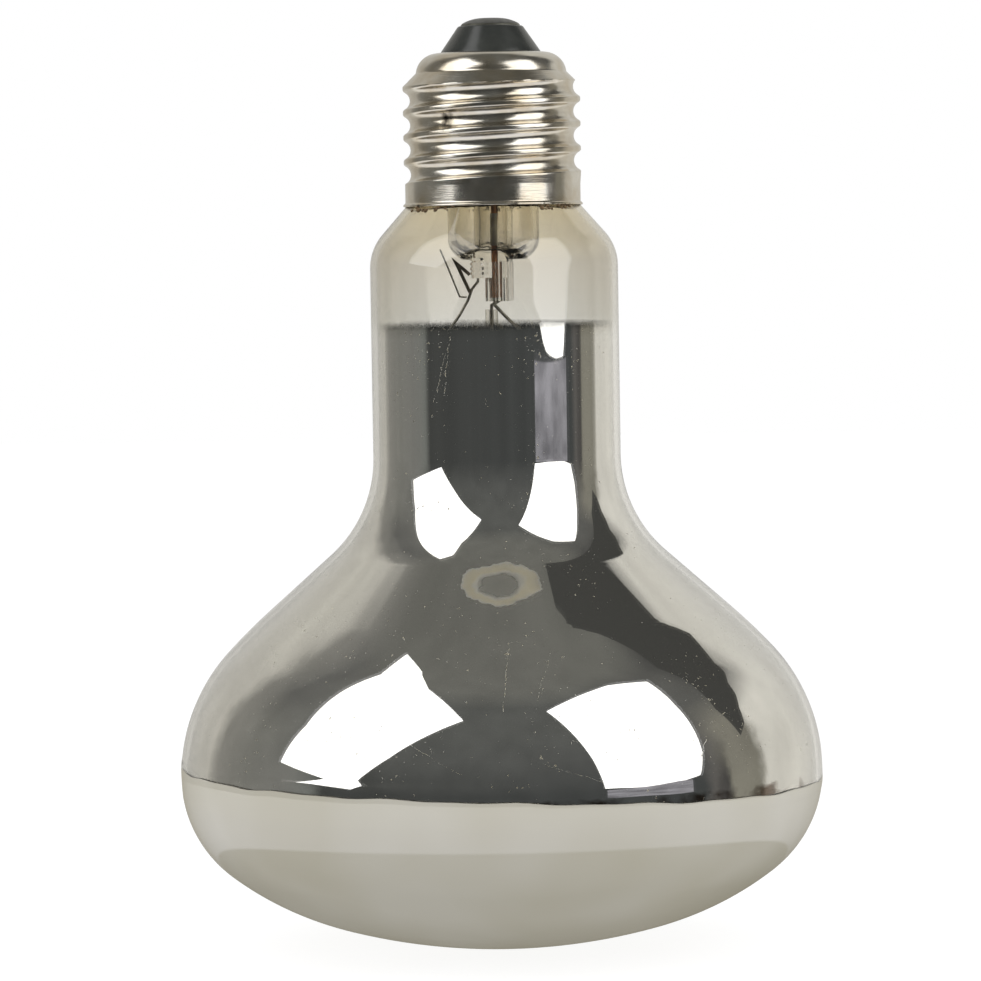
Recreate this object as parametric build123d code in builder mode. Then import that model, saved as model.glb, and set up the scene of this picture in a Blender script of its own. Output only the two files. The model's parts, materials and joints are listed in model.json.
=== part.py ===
from build123d import *
import os
from math import atan, cos, degrees, radians, sin, sqrt, tan

os.makedirs("parts", exist_ok=True)

# Reflector lamp with an E27 screw cap. Millimetres, +Z along the lamp's axis from the crown of
# the face (z = 0) up to the cap's centre contact. -Y is the front, +X is to the right.

# Overall sizes
overall_length = 137.0
cap_length = 27.6
rim_height = overall_length - cap_length

# Blown glass envelope, outer form, from the face up to the neck
bulb_radius = 47.5
neck_radius = 18.3
glass_wall = 0.9
face_radius = 46.3
corner_radius = 17.9
flank_radius = 26.8
ease_radius = 87.5
throat_radius = 19.3
face_turn = 73.3
corner_turn = 52.3
flank_turn = 43.0
bowl_slope = 48.5

# Neck shoulder, cone and the collar that the cap covers
shoulder_radius = 7.5
shoulder_slope = 41.3
collar_radius = 11.3
collar_fillet = 1.5
collar_height = 8.0

# Reflector film on the inside of the glass
film_thickness = 0.1
film_low = 25.8
film_drop = 17.0

# Rolled sheet of the screw shell
sheet = 0.3
shell_length = 23.2
skirt_radius = 12.93
skirt_length = 3.1
lip_radius = 13.25
lip_height = 0.25
dome_radius = 3.0
thread_entry_radius = 11.1
crown_hole_radius = 7.3
entry_slope = 45.0

# E27 screw thread, rounded as rolled
pitch = 3.629
crest_radius = 13.13
root_radius = 12.05
crest_rounding = 0.6
crest_land = 0.05
thread_turns = 4.4
thread_start_height = 4.5
thread_start_angle = 160.0
run_out_angle = 100.0
run_out_rise = 1.3
run_out_overlap = 8.0
run_out_step = 0.04
inner_root_flat = 0.7

# Black glass insulator, contact plate and solder
insulator_height = 3.25
insulator_base_radius = 7.45
insulator_top_radius = 5.0
insulator_depth = 3.0
insulator_recess_radius = 8.2
insulator_floor = 1.2
contact_plate_radius = 4.76
contact_plate_height = 0.25
contact_plate_seat = 0.45
eyelet_radius = 1.4
eyelet_bore = 0.8
eyelet_depth = 4.4
solder_radius = 4.6
solder_flat = 1.2
solder_crown = 12.6
solder_plug = 1.6

# Basing cement between the skirt and the glass collar
cement_height = 2.7

# Small clearances
seat_gap = 0.05
touch_gap = 0.02

# Flared stem tube, press and exhaust tube, placed from the stem's floor under the cap's rim
stem_drop = 6.4
stem_radius = 6.75
stem_wall = 1.0
stem_floor_thickness = 1.4
stem_corner = 3.7
stem_corner_slope = 26.3
flare_radius = 6.0
flare_turn = 52.0
flare_rise = 7.5
flare_rim = 0.7
press_turn = 5.0
press_width = 12.0
press_right = 2.5
press_left = 0.9
press_length = 7.6
press_corner = 1.2
press_root_corner = 2.0
press_root_depth = 0.7
press_root_width = 0.95
lobe_left = 2.9
lobe_length = 4.2
ripple_first = 0.5
ripple_stand = 0.18
ripple_inset = 0.4
ripple_thickness = 0.4
ripple_count = 4
ripple_pitch = 0.7
exhaust_radius = 2.8
exhaust_wall = 0.8
exhaust_length = 14.0
exhaust_tip_length = 4.5
exhaust_hole = 0.7
exhaust_hole_start = 1.0
exhaust_hole_tilt = 30.4
exhaust_hole_turn = -17.5
exhaust_hole_length = 6.0

# Wires through the stem
outer_wire = 0.35
seal_wire = 0.3
inner_wire = 0.25
seal_spread = 3.6
seal_shift = 0.35
seal_depth = 1.8
seal_length = 5.3
joint_radius = 0.52
joint_rise = 0.6
joint_length = 4.4
centre_lead_rise = 1.0
centre_lead_straight = 4.4
side_wire = 0.2
side_lead_rise = 1.0
side_lead_inset = 2.0

# Sleeve, getter and frame
sleeve_x = -0.45
sleeve_radius = 0.95
sleeve_drop = 0.6
sleeve_short = 0.7
inner_lead_straight = 0.6
filament_lead_x = 1.9
filament_lead_drop = 2.6
filament_lead_out_x = 9.0
filament_lead_out_y = 7.0
filament_lead_out_drop = 9.4
filament_lead_rise = 6.5
getter_wire_radius = 0.2
getter_wire_x = -2.4
getter_wire_seal = 1.6
getter_wire_straight = 0.5
getter_bends_x = (-3.3, -3.9, -5.1)
getter_bends_drop = (1.6, 3.2, 5.3)
getter_bead_x = -9.0
getter_bead_drop = 10.8
flag_width = 5.0
flag_sheet = 0.2
flag_top_x = -8.0
flag_top_rise = 4.4
flag_knee_x = -5.2
flag_knee_drop = 2.8
flag_foot_x = -4.12
flag_foot_drop = 2.9
getter_bar_width = 0.8
getter_bar_thickness = 0.5
getter_bar_top_x = -5.6
getter_bar_top_rise = 2.3
getter_bar_foot_x = -3.6
getter_bar_foot_drop = 2.1
getter_leg_x = -3.6
getter_leg_rise = 0.5
rod_radius = 0.6
rod_y = 11.0
rod_bend = 1.2
rod_knee_rise = 2.0
rod_run = 8.0
rod_straight = 2.0

# Quartz arc tube and what it holds
arc_radius = 6.5
arc_wall = 1.1
pinch_width = 10.0
pinch_thickness = 3.2
pinch_edge = 1.44
pinch_length = 13.0
pinch_sink = 3.0
nipple_radius = 1.2
nipple_length = 2.4
nipple_taper = 20.0
foil_width = 2.2
foil_thickness = 0.1
foil_length = 7.0
foil_gap = 0.55
lead_spread = 1.8
electrode_rod = 0.35
electrode_reach = 7.5
electrode_coil = 0.9
electrode_coil_length = 4.0
electrode_point = 0.5
starter_rod = 0.25
starter_reach = 4.0
upper_lead_length = 4.0
lower_lead_length = 5.0

# How the arc tube's straight part and the gap below it divide the room that is left
arc_straight_share = 0.438
arc_gap_share = 0.27

# Straps, filament and starting resistor
strap_sheet = 0.3
strap_gap = 0.45
strap_height = 3.2
filament_ring = 14.5
filament_radius = 0.45
filament_sink = 4.0
filament_start = -25.0
filament_sweep = 310.0
bridge_reach = 6.0
bridge_drop = 1.0
bead_radius = 1.8
bead_height = 4.0
hook_wire = 0.15
hook_eye = 0.75
hook_spread = 20.0
resistor_radius = 1.1
resistor_length = 7.0
resistor_start = 1.6

# Worked out from the sizes above
crown_reach = (
    bulb_radius
    - corner_radius * (1 - cos(radians(corner_turn)))
    - face_radius * (cos(radians(corner_turn)) - cos(radians(face_turn)))
)
crown_radius = crown_reach / cos(radians(face_turn))
slope_drop = (
    bulb_radius
    - flank_radius * (1 - cos(radians(flank_turn)))
    - ease_radius * (cos(radians(flank_turn)) - cos(radians(bowl_slope)))
    - throat_radius * (1 - cos(radians(bowl_slope)))
    - neck_radius
)
slope_length = slope_drop / sin(radians(bowl_slope))
equator_height = (
    crown_radius * (1 - sin(radians(face_turn)))
    + face_radius * (sin(radians(face_turn)) - sin(radians(corner_turn)))
    + corner_radius * sin(radians(corner_turn))
)
neck_low = (
    equator_height
    + flank_radius * sin(radians(flank_turn))
    + ease_radius * (sin(radians(bowl_slope)) - sin(radians(flank_turn)))
    + slope_length * cos(radians(bowl_slope))
    + throat_radius * sin(radians(bowl_slope))
)
lip_inner = lip_radius - sheet
shoulder_end_radius = neck_radius - shoulder_radius * (1 - cos(radians(shoulder_slope)))
cone_to_rim = (shoulder_end_radius - (lip_inner - seat_gap)) / tan(radians(shoulder_slope))
neck_high = rim_height - cone_to_rim - shoulder_radius * sin(radians(shoulder_slope))
collar_start_radius = collar_radius + collar_fillet * (1 - cos(radians(shoulder_slope)))
cone_length = (shoulder_end_radius - collar_start_radius) / sin(radians(shoulder_slope))
collar_top = rim_height + collar_height
shell_top = rim_height + shell_length
insulator_top = shell_top + insulator_height
contact_top = insulator_top + contact_plate_height
land_radius = crest_radius - crest_land
thread_depth = crest_radius - root_radius
root_rounding = (pitch**2 / 4 + thread_depth**2) / (2 * thread_depth) - crest_rounding
film_high = rim_height - film_drop
stem_floor = rim_height - stem_drop
flare_start = stem_floor + flare_rise
press_bottom = stem_floor - press_length
lobe_bottom = stem_floor - lobe_length
exhaust_top = stem_floor + exhaust_length
exhaust_tip = exhaust_top + exhaust_tip_length
seal_top = stem_floor - seal_depth
seal_bottom = seal_top - seal_length
mount_room = press_bottom - glass_wall
pinch_reach = arc_radius - pinch_sink + pinch_length
arc_room = mount_room - 2 * pinch_reach - upper_lead_length - lower_lead_length
arc_straight = arc_straight_share * arc_room
weld_height = glass_wall + arc_gap_share * arc_room
arc_middle = weld_height + lower_lead_length + pinch_reach + arc_straight / 2
pinch_far = arc_middle + arc_straight / 2 + pinch_reach
arc_lead_top = pinch_far + upper_lead_length
dome_reach = arc_straight / 2 + arc_radius
pinch_root = dome_reach - pinch_sink
foil_root = dome_reach + foil_gap
strap_root = dome_reach + strap_gap
filament_height = pinch_far - filament_sink
bead_top = filament_height + bead_height / 2
rod_knee = bead_top + rod_knee_rise
sleeve_top = press_bottom - sleeve_drop
sleeve_bottom = rod_knee + rod_run


def glass_outline(inset):
    """Draws the glass's meridian, inset from its outer skin, from the crown to the collar."""
    crown = JernArc((0, inset), (1, 0), crown_radius - inset, 90 - face_turn)
    face = JernArc(crown @ 1, crown % 1, face_radius - inset, face_turn - corner_turn)
    corner = JernArc(face @ 1, face % 1, corner_radius - inset, corner_turn)
    flank = JernArc(corner @ 1, corner % 1, flank_radius - inset, flank_turn)
    ease = JernArc(flank @ 1, flank % 1, ease_radius - inset, bowl_slope - flank_turn)
    slope = Line(ease @ 1, ease @ 1 + (ease % 1) * slope_length)
    throat = JernArc(slope @ 1, slope % 1, throat_radius + inset, -bowl_slope)
    neck = Line(throat @ 1, throat @ 1 + Vector(0, neck_high - neck_low))
    shoulder = JernArc(neck @ 1, neck % 1, shoulder_radius - inset, shoulder_slope)
    cone = Line(shoulder @ 1, shoulder @ 1 + (shoulder % 1) * cone_length)
    foot = JernArc(cone @ 1, cone % 1, collar_fillet + inset, -shoulder_slope)
    Line(foot @ 1, (collar_radius - inset, collar_top))


def bent_wire(points, wire_radius):
    """Makes a round wire along straight runs, folded sharply where they meet."""
    with BuildPart() as wire:
        with BuildLine() as route:
            Polyline(*points)
        with BuildSketch(Plane(origin=route.line @ 0, z_dir=route.line % 0)):
            Circle(wire_radius)
        sweep(path=route.line, transition=Transition.RIGHT)
    return wire


def around(radius, angle, height):
    """Gives the point at a radius and an angle about the lamp's axis."""
    return (radius * cos(radians(angle)), radius * sin(radians(angle)), height)


# Envelope: one blown shell, open at the collar
with BuildPart() as glass_envelope:
    with BuildSketch(Plane.XZ):
        with BuildLine():
            glass_outline(0)
            Line((collar_radius, collar_top), (collar_radius - glass_wall, collar_top))
            glass_outline(glass_wall)
            Line((0, glass_wall), (0, 0))
        make_face()
    revolve(axis=Axis.Z)
glass_envelope.part.label = "glass_envelope"
export_step(glass_envelope.part, "parts/glass_envelope.step")

# Reflector film: a band on the inner wall, from the widest plane to the neck
with BuildPart() as reflector_film:
    with BuildSketch(Plane.XZ):
        with BuildLine():
            glass_outline(glass_wall)
            Line(
                (collar_radius - glass_wall, collar_top),
                (collar_radius - glass_wall - film_thickness, collar_top),
            )
            glass_outline(glass_wall + film_thickness)
            Line((0, glass_wall + film_thickness), (0, glass_wall))
        make_face()
        with Locations((0, film_low)):
            Rectangle(
                bulb_radius,
                film_high - film_low,
                align=(Align.MIN, Align.MIN),
                mode=Mode.INTERSECT,
            )
    revolve(axis=Axis.Z)
reflector_film.part.label = "reflector_film"
export_step(reflector_film.part, "parts/reflector_film.step")


def shell_body(inset):
    """Makes the screw cap's unthreaded form, inset from its outer skin."""
    lip_top = rim_height + lip_height + (lip_radius - skirt_radius)
    land_low = rim_height + thread_start_height + pitch / 6
    dome_end = shell_top - dome_radius
    land = land_radius - inset
    entry = thread_entry_radius - inset
    slide = inset * tan(radians(entry_slope / 2))
    land_high = dome_end - (land_radius - thread_entry_radius) / tan(radians(entry_slope))
    with BuildPart() as body:
        with BuildSketch(Plane.XZ):
            with BuildLine():
                rise = Polyline(
                    (0, rim_height),
                    (lip_radius - inset, rim_height),
                    (lip_radius - inset, rim_height + lip_height - slide),
                    (skirt_radius - inset, lip_top - slide),
                    (skirt_radius - inset, rim_height + skirt_length),
                    (land, land_low),
                    (land, land_high - slide),
                    (entry, dome_end),
                )
                dome = JernArc(rise @ 1, (0, 1), dome_radius - inset, 90)
                Polyline(dome @ 1, (0, shell_top - inset), (0, rim_height))
            make_face()
        revolve(axis=Axis.Z)
    return body


def outer_groove_outline():
    """Draws the rolled groove's section about its root: one root arc between two crest arcs."""
    span = sqrt((pitch / 2) ** 2 + (crest_rounding + root_rounding - thread_depth) ** 2)
    share = crest_rounding / span
    crest_x = thread_depth - crest_rounding
    meet_x = crest_x + share * (root_rounding - crest_x)
    meet_y = pitch / 2 * (1 - share)
    land_x = thread_depth - crest_land
    land_y = pitch / 2 - sqrt(crest_rounding**2 - (land_x - crest_x) ** 2)
    RadiusArc((meet_x, -meet_y), (meet_x, meet_y), root_rounding)
    RadiusArc((meet_x, meet_y), (land_x, land_y), -crest_rounding)
    RadiusArc((land_x, -land_y), (meet_x, -meet_y), -crest_rounding)
    outside = 2 * thread_depth
    Polyline((land_x, land_y), (outside, pitch / 2), (outside, -pitch / 2), (land_x, -land_y))


def inner_groove_outline():
    """Draws the same groove as the inner wall of the sheet has it, with straight flanks."""
    land_x = thread_depth - crest_land - sheet
    flank_y = pitch / 2 - crest_rounding / 4
    outside = 2 * thread_depth
    Polyline(
        (-sheet, -inner_root_flat),
        (-sheet, inner_root_flat),
        (land_x, flank_y),
        (outside, pitch / 2),
        (outside, -pitch / 2),
        (land_x, -flank_y),
        (-sheet, -inner_root_flat),
    )


def groove(outline, turn, low_root, high_root):
    """Makes a groove that climbs through turn degrees, between the two radii of its root."""
    climb = pitch * turn / 360
    cone = degrees(atan((high_root - low_root) / climb))
    with BuildPart() as cut:
        with BuildLine() as path:
            helix = Helix(pitch / cos(radians(cone)), climb, low_root, cone_angle=cone)
        with BuildSketch(Plane(origin=helix @ 0, x_dir=(1, 0, 0), z_dir=helix % 0)):
            with BuildLine():
                outline()
            make_face()
        sweep(path=path.line, is_frenet=True)
    return cut


def threaded_body(inset, outline):
    """Makes the cap's form with its right-handed groove, which runs out above the skirt."""
    start = rim_height + thread_start_height
    run_out = groove(
        outline,
        run_out_angle + run_out_overlap,
        root_radius + run_out_rise,
        root_radius + run_out_step,
    )
    main = groove(outline, 360 * thread_turns, root_radius, root_radius)
    run_out_start = start - pitch * run_out_angle / 360
    with BuildPart() as body:
        add(shell_body(inset))
        add(
            Pos(0, 0, start) * Rot(0, 0, thread_start_angle) * main.part,
            mode=Mode.SUBTRACT,
        )
        add(
            Pos(0, 0, run_out_start)
            * Rot(0, 0, thread_start_angle - run_out_angle)
            * run_out.part,
            mode=Mode.SUBTRACT,
        )
    return body


# Screw shell: thin rolled sheet, threaded inside and out, open at the rim and the crown
with BuildPart() as screw_shell:
    add(threaded_body(0, outer_groove_outline))
    add(threaded_body(sheet, inner_groove_outline), mode=Mode.SUBTRACT)
    with BuildSketch(Plane.XY.offset(shell_top)):
        Circle(crown_hole_radius)
    extrude(amount=-2 * sheet, mode=Mode.SUBTRACT)
screw_shell.part.label = "screw_shell"
export_step(screw_shell.part, "parts/screw_shell.step")

# Insulator: black glass cast through the crown of the shell and spread under its dome
under_crown = shell_top - sheet
insulator_foot = under_crown - insulator_depth
with BuildPart() as cap_insulator:
    with BuildSketch(Plane.XZ):
        with BuildLine():
            outside = Polyline(
                (eyelet_radius, insulator_top),
                (insulator_top_radius, insulator_top),
                (insulator_base_radius, shell_top),
                (crown_hole_radius, shell_top),
                (crown_hole_radius, under_crown),
                (thread_entry_radius - dome_radius, under_crown),
            )
            shoulder = JernArc(outside @ 1, (1, 0), dome_radius - sheet, -90)
            Polyline(
                shoulder @ 1,
                (thread_entry_radius - sheet, insulator_foot),
                (insulator_recess_radius, insulator_foot),
                (eyelet_radius + insulator_floor, under_crown - insulator_floor),
                (eyelet_radius, under_crown - insulator_floor),
                (eyelet_radius, insulator_top),
            )
        make_face()
    revolve(axis=Axis.Z)
    with BuildSketch(Plane.XY.offset(insulator_top)):
        Circle(contact_plate_radius)
    extrude(amount=-contact_plate_seat, mode=Mode.SUBTRACT)
cap_insulator.part.label = "cap_insulator"
export_step(cap_insulator.part, "parts/cap_insulator.step")

# Contact plate: a disc let into the insulator, with an eyelet down through it
plate_low = insulator_top - contact_plate_seat
with BuildPart() as contact_plate:
    with BuildSketch(Plane.XY.offset(plate_low)):
        Circle(contact_plate_radius)
    extrude(amount=contact_top - plate_low)
    with BuildSketch(Plane.XY.offset(plate_low)):
        Circle(eyelet_radius)
    extrude(amount=-eyelet_depth)
    with BuildSketch(Plane.XY.offset(contact_top)):
        Circle(eyelet_bore)
    extrude(amount=plate_low - eyelet_depth - contact_top, mode=Mode.SUBTRACT)
contact_plate.part.label = "contact_plate"
export_step(contact_plate.part, "parts/contact_plate.step")

# Solder: a low dome over the plate with a plug in the eyelet
with BuildPart() as centre_solder:
    with BuildSketch(Plane.XZ):
        with BuildLine():
            RadiusArc((solder_radius, contact_top), (solder_flat, overall_length), -solder_crown)
            Polyline(
                (solder_flat, overall_length),
                (0, overall_length),
                (0, contact_top - solder_plug),
                (eyelet_bore, contact_top - solder_plug),
                (eyelet_bore, contact_top),
                (solder_radius, contact_top),
            )
        make_face()
    revolve(axis=Axis.Z)
centre_solder.part.label = "centre_solder"
export_step(centre_solder.part, "parts/centre_solder.step")

# Stem: flared tube, floor and press in one piece of glass
press_plane = Plane((0, 0, 0), x_dir=(cos(radians(press_turn)), -sin(radians(press_turn)), 0))
front_seal = press_plane.from_local_coords((seal_shift, -seal_spread, 0))
back_seal = press_plane.from_local_coords((seal_shift, seal_spread, 0))
flare_end_radius = stem_radius + flare_radius * (1 - cos(radians(flare_turn)))
flare_rim_radius = collar_radius - glass_wall
flare_run = (flare_rim_radius - flare_end_radius) / sin(radians(flare_turn))
hole_start = (exhaust_hole_start, 0, stem_floor + exhaust_hole_start)
hole_way = (
    sin(radians(exhaust_hole_tilt)) * cos(radians(exhaust_hole_turn)),
    sin(radians(exhaust_hole_tilt)) * sin(radians(exhaust_hole_turn)),
    -cos(radians(exhaust_hole_tilt)),
)


def stem_outline(inset, floor):
    """Draws the flared tube's meridian, inset from its outer skin, from floor to rim."""
    slope = radians(stem_corner_slope)
    floor_radius = stem_radius - stem_corner + (stem_corner - inset) * sin(slope)
    start = Line((0, floor), (floor_radius, floor))
    foot = JernArc(
        start @ 1, (cos(slope), sin(slope)), stem_corner - inset, 90 - stem_corner_slope
    )
    tube = Line(foot @ 1, (stem_radius - inset, flare_start))
    flare = JernArc(tube @ 1, (0, 1), flare_radius + inset, -flare_turn)
    run = Line(flare @ 1, flare @ 1 + (flare % 1) * flare_run)
    rim = Line(run @ 1, run @ 1 + Vector(0, flare_rim))
    Polyline(rim @ 1, (0, (rim @ 1).Y), (0, floor))


ripple_length = lobe_left + ripple_stand - ripple_inset
ripple_middle = ripple_inset + ripple_length / 2
with BuildPart() as stem_glass:
    with BuildSketch(Plane.XZ):
        with BuildLine():
            stem_outline(0, stem_floor - stem_floor_thickness)
        make_face()
    revolve(axis=Axis.Z)
    with BuildSketch(press_plane.offset(stem_floor + stem_corner / 2)):
        Ellipse(stem_radius * press_root_depth, stem_radius * press_root_width)
    with BuildSketch(press_plane.offset(seal_top)):
        with Locations(((press_right - lobe_left) / 2, 0)):
            RectangleRounded(press_right + lobe_left, press_width, press_root_corner)
    loft()
    with BuildSketch(press_plane.offset(press_bottom)):
        with Locations(((press_right - press_left) / 2, 0)):
            RectangleRounded(press_right + press_left, press_width, press_corner)
    extrude(amount=seal_top - press_bottom)
    with BuildSketch(press_plane.offset(lobe_bottom)):
        with Locations(((press_right - lobe_left) / 2, 0)):
            RectangleRounded(press_right + lobe_left, press_width, press_corner)
    extrude(amount=seal_top - lobe_bottom)
    for ripple in range(ripple_count):
        ripple_low = lobe_bottom + ripple_first + ripple * ripple_pitch
        with BuildSketch(press_plane.offset(ripple_low)):
            with Locations((-ripple_middle, 0)):
                RectangleRounded(ripple_length, press_width + 2 * ripple_stand, press_corner)
        extrude(amount=ripple_thickness)
    with BuildSketch(Plane.XZ):
        with BuildLine():
            stem_outline(stem_wall, stem_floor)
        make_face()
    revolve(axis=Axis.Z, mode=Mode.SUBTRACT)
    for seal in (front_seal, back_seal):
        with BuildSketch(Plane((seal.X, seal.Y, stem_floor))):
            Circle(outer_wire)
        extrude(amount=seal_top - stem_floor, mode=Mode.SUBTRACT)
        with BuildSketch(Plane((seal.X, seal.Y, seal_top))):
            Circle(seal_wire)
        extrude(amount=press_bottom - seal_top, mode=Mode.SUBTRACT)
    with BuildSketch(Plane((getter_wire_x, 0, lobe_bottom))):
        Circle(getter_wire_radius)
    extrude(amount=getter_wire_seal, mode=Mode.SUBTRACT)
    with BuildSketch(Plane(hole_start, z_dir=hole_way)):
        Circle(exhaust_hole)
    extrude(amount=exhaust_hole_length, mode=Mode.SUBTRACT)
stem_glass.part.label = "stem_glass"
export_step(stem_glass.part, "parts/stem_glass.step")

# Exhaust tube: stands on the stem's floor and is drawn to a closed tip inside the cap
with BuildPart() as exhaust_tube:
    with BuildSketch(Plane.XZ):
        with BuildLine():
            Polyline(
                (exhaust_radius - exhaust_wall, stem_floor),
                (exhaust_radius, stem_floor),
                (exhaust_radius, exhaust_top),
            )
            tip = Spline(
                (exhaust_radius, exhaust_top),
                (exhaust_radius / 4, exhaust_tip - exhaust_wall / 2),
                (0, exhaust_tip),
                tangents=((0, 1), (-1, 0)),
            )
            Line((0, exhaust_tip), (0, exhaust_tip - 2 * exhaust_wall))
            Polyline(
                (0, exhaust_tip - 2 * exhaust_wall),
                (exhaust_radius - exhaust_wall, exhaust_top),
                (exhaust_radius - exhaust_wall, stem_floor),
            )
        make_face()
    revolve(axis=Axis.Z)
exhaust_tube.part.label = "exhaust_tube"
export_step(exhaust_tube.part, "parts/exhaust_tube.step")

# Outer leads, from the seals up through the flare to the contact and to the shell
plug_low = contact_top - solder_plug
centre_lead = bent_wire(
    [
        (front_seal.X, front_seal.Y, seal_top),
        (front_seal.X, front_seal.Y, exhaust_tip + centre_lead_rise),
        (0, 0, under_crown - centre_lead_straight),
        (0, 0, plug_low),
    ],
    outer_wire,
)
centre_lead.part.label = "centre_lead"
export_step(centre_lead.part, "parts/centre_lead.step")

shell_gap = (collar_radius + root_radius - sheet) / 2
cement_top = rim_height + cement_height
side_lead = bent_wire(
    [
        (back_seal.X, back_seal.Y, seal_top),
        (back_seal.X, back_seal.Y, flare_start + side_lead_rise),
        (0, flare_rim_radius - side_lead_inset, collar_top + 3 * side_wire),
        (0, shell_gap, collar_top + 3 * side_wire),
        (0, shell_gap, cement_top + touch_gap),
    ],
    side_wire,
)
side_lead.part.label = "side_lead"
export_step(side_lead.part, "parts/side_lead.step")

# Crimped joint on the centre lead, inside the flare
with BuildPart() as lead_joint:
    with BuildSketch(Plane((front_seal.X, front_seal.Y, stem_floor + joint_rise))):
        Circle(joint_radius)
        Circle(outer_wire + touch_gap / 2, mode=Mode.SUBTRACT)
    extrude(amount=joint_length)
lead_joint.part.label = "lead_joint"
export_step(lead_joint.part, "parts/lead_joint.step")

# Cement ring, moulded between the skirt and the glass
cement_low = rim_height + lip_height + sheet
with BuildPart() as basing_cement:
    with BuildSketch(Plane.XZ):
        with Locations((0, cement_low)):
            Rectangle(
                skirt_radius - sheet - seat_gap,
                cement_top - cement_low,
                align=(Align.MIN, Align.MIN),
            )
        with BuildLine():
            glass_outline(0)
            Polyline((collar_radius, collar_top), (0, collar_top), (0, 0))
        make_face(mode=Mode.SUBTRACT)
    revolve(axis=Axis.Z)
basing_cement.part.label = "basing_cement"
export_step(basing_cement.part, "parts/basing_cement.step")

# Copper-clad seal wires inside the press
with BuildPart() as seal_wires:
    for seal in (front_seal, back_seal):
        with BuildSketch(Plane((seal.X, seal.Y, seal_bottom))):
            Circle(seal_wire)
        extrude(amount=seal_top - seal_bottom)
seal_wires.part.label = "seal_wires"
export_step(seal_wires.part, "parts/seal_wires.step")

# Inner leads below the press
filament_top = filament_height + filament_radius
filament_end = around(filament_ring, filament_start, filament_top + touch_gap)
filament_lead = bent_wire(
    [
        (front_seal.X, front_seal.Y, seal_bottom),
        (front_seal.X, front_seal.Y, press_bottom - inner_lead_straight),
        (filament_lead_x, front_seal.Y, press_bottom - filament_lead_drop),
        (filament_lead_out_x, -filament_lead_out_y, press_bottom - filament_lead_out_drop),
        (filament_end[0], filament_end[1], filament_end[2] + filament_lead_rise),
        filament_end,
    ],
    inner_wire,
)
filament_lead.part.label = "filament_lead"
export_step(filament_lead.part, "parts/filament_lead.step")

sleeved_lead = bent_wire(
    [
        (back_seal.X, back_seal.Y, seal_bottom),
        (back_seal.X, back_seal.Y, press_bottom - touch_gap),
        (sleeve_x, back_seal.Y, sleeve_top - 2 * seat_gap),
        (sleeve_x, back_seal.Y, sleeve_bottom),
    ],
    inner_wire,
)
sleeved_lead.part.label = "sleeved_lead"
export_step(sleeved_lead.part, "parts/sleeved_lead.step")

# Glass sleeve over the lead that feeds the frame
with BuildPart() as insulating_sleeve:
    with BuildSketch(Plane((sleeve_x, back_seal.Y, sleeve_bottom))):
        Circle(sleeve_radius)
        Circle(inner_wire + seat_gap, mode=Mode.SUBTRACT)
    extrude(amount=sleeve_top - sleeve_short - sleeve_bottom)
insulating_sleeve.part.label = "insulating_sleeve"
export_step(insulating_sleeve.part, "parts/insulating_sleeve.step")

# Support wire from the press, which carries the getter and a bead
getter_bends = [(x, 0, lobe_bottom - drop) for x, drop in zip(getter_bends_x, getter_bends_drop)]
getter_wire = bent_wire(
    [
        (getter_wire_x, 0, lobe_bottom + getter_wire_seal),
        (getter_wire_x, 0, lobe_bottom - getter_wire_straight),
        *getter_bends,
        (getter_bead_x, 0, lobe_bottom - getter_bead_drop),
        (getter_bead_x, 0, bead_top),
    ],
    getter_wire_radius,
)
getter_wire.part.label = "getter_wire"
export_step(getter_wire.part, "parts/getter_wire.step")

# Getter flag: a thin strip with its foot against the support wire
with BuildPart() as getter_flag:
    with BuildSketch(Plane.XZ.offset(-flag_width / 2)):
        with BuildLine():
            strip = Polyline(
                (flag_top_x, lobe_bottom + flag_top_rise),
                (flag_knee_x, lobe_bottom - flag_knee_drop),
                (flag_foot_x, lobe_bottom - flag_foot_drop),
            )
            offset(strip, amount=flag_sheet, side=Side.LEFT)
        make_face()
    extrude(amount=flag_width)
getter_flag.part.label = "getter_flag"
export_step(getter_flag.part, "parts/getter_flag.step")

# Getter bar: a folded strip welded to the front of the support wire, with a shorter leg
getter_bar_y = getter_wire_radius + touch_gap
with BuildPart() as getter_bar:
    with BuildSketch(Plane.XZ.offset(getter_bar_y)):
        with BuildLine():
            Polyline(
                (getter_leg_x, lobe_bottom + getter_leg_rise),
                (getter_bar_top_x, lobe_bottom + getter_bar_top_rise),
                (getter_bar_foot_x, lobe_bottom - getter_bar_foot_drop),
            )
        trace(line_width=getter_bar_thickness)
    extrude(amount=getter_bar_width)
getter_bar.part.label = "getter_bar"
export_step(getter_bar.part, "parts/getter_bar.step")

# Frame rod: from the sleeved lead, beside the arc tube, to the tube's lower lead
with BuildPart() as frame_rod:
    with BuildLine() as rod_route:
        FilletPolyline(
            (sleeve_x, back_seal.Y, sleeve_bottom),
            (sleeve_x, back_seal.Y, sleeve_bottom - rod_straight),
            (0, rod_y, rod_knee),
            (0, rod_y, weld_height),
            (0, electrode_rod + touch_gap, weld_height),
            radius=rod_bend,
        )
    with BuildSketch(Plane(origin=rod_route.line @ 0, z_dir=rod_route.line % 0)):
        Circle(rod_radius)
    sweep(path=rod_route.line)
frame_rod.part.label = "frame_rod"
export_step(frame_rod.part, "parts/frame_rod.step")

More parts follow.
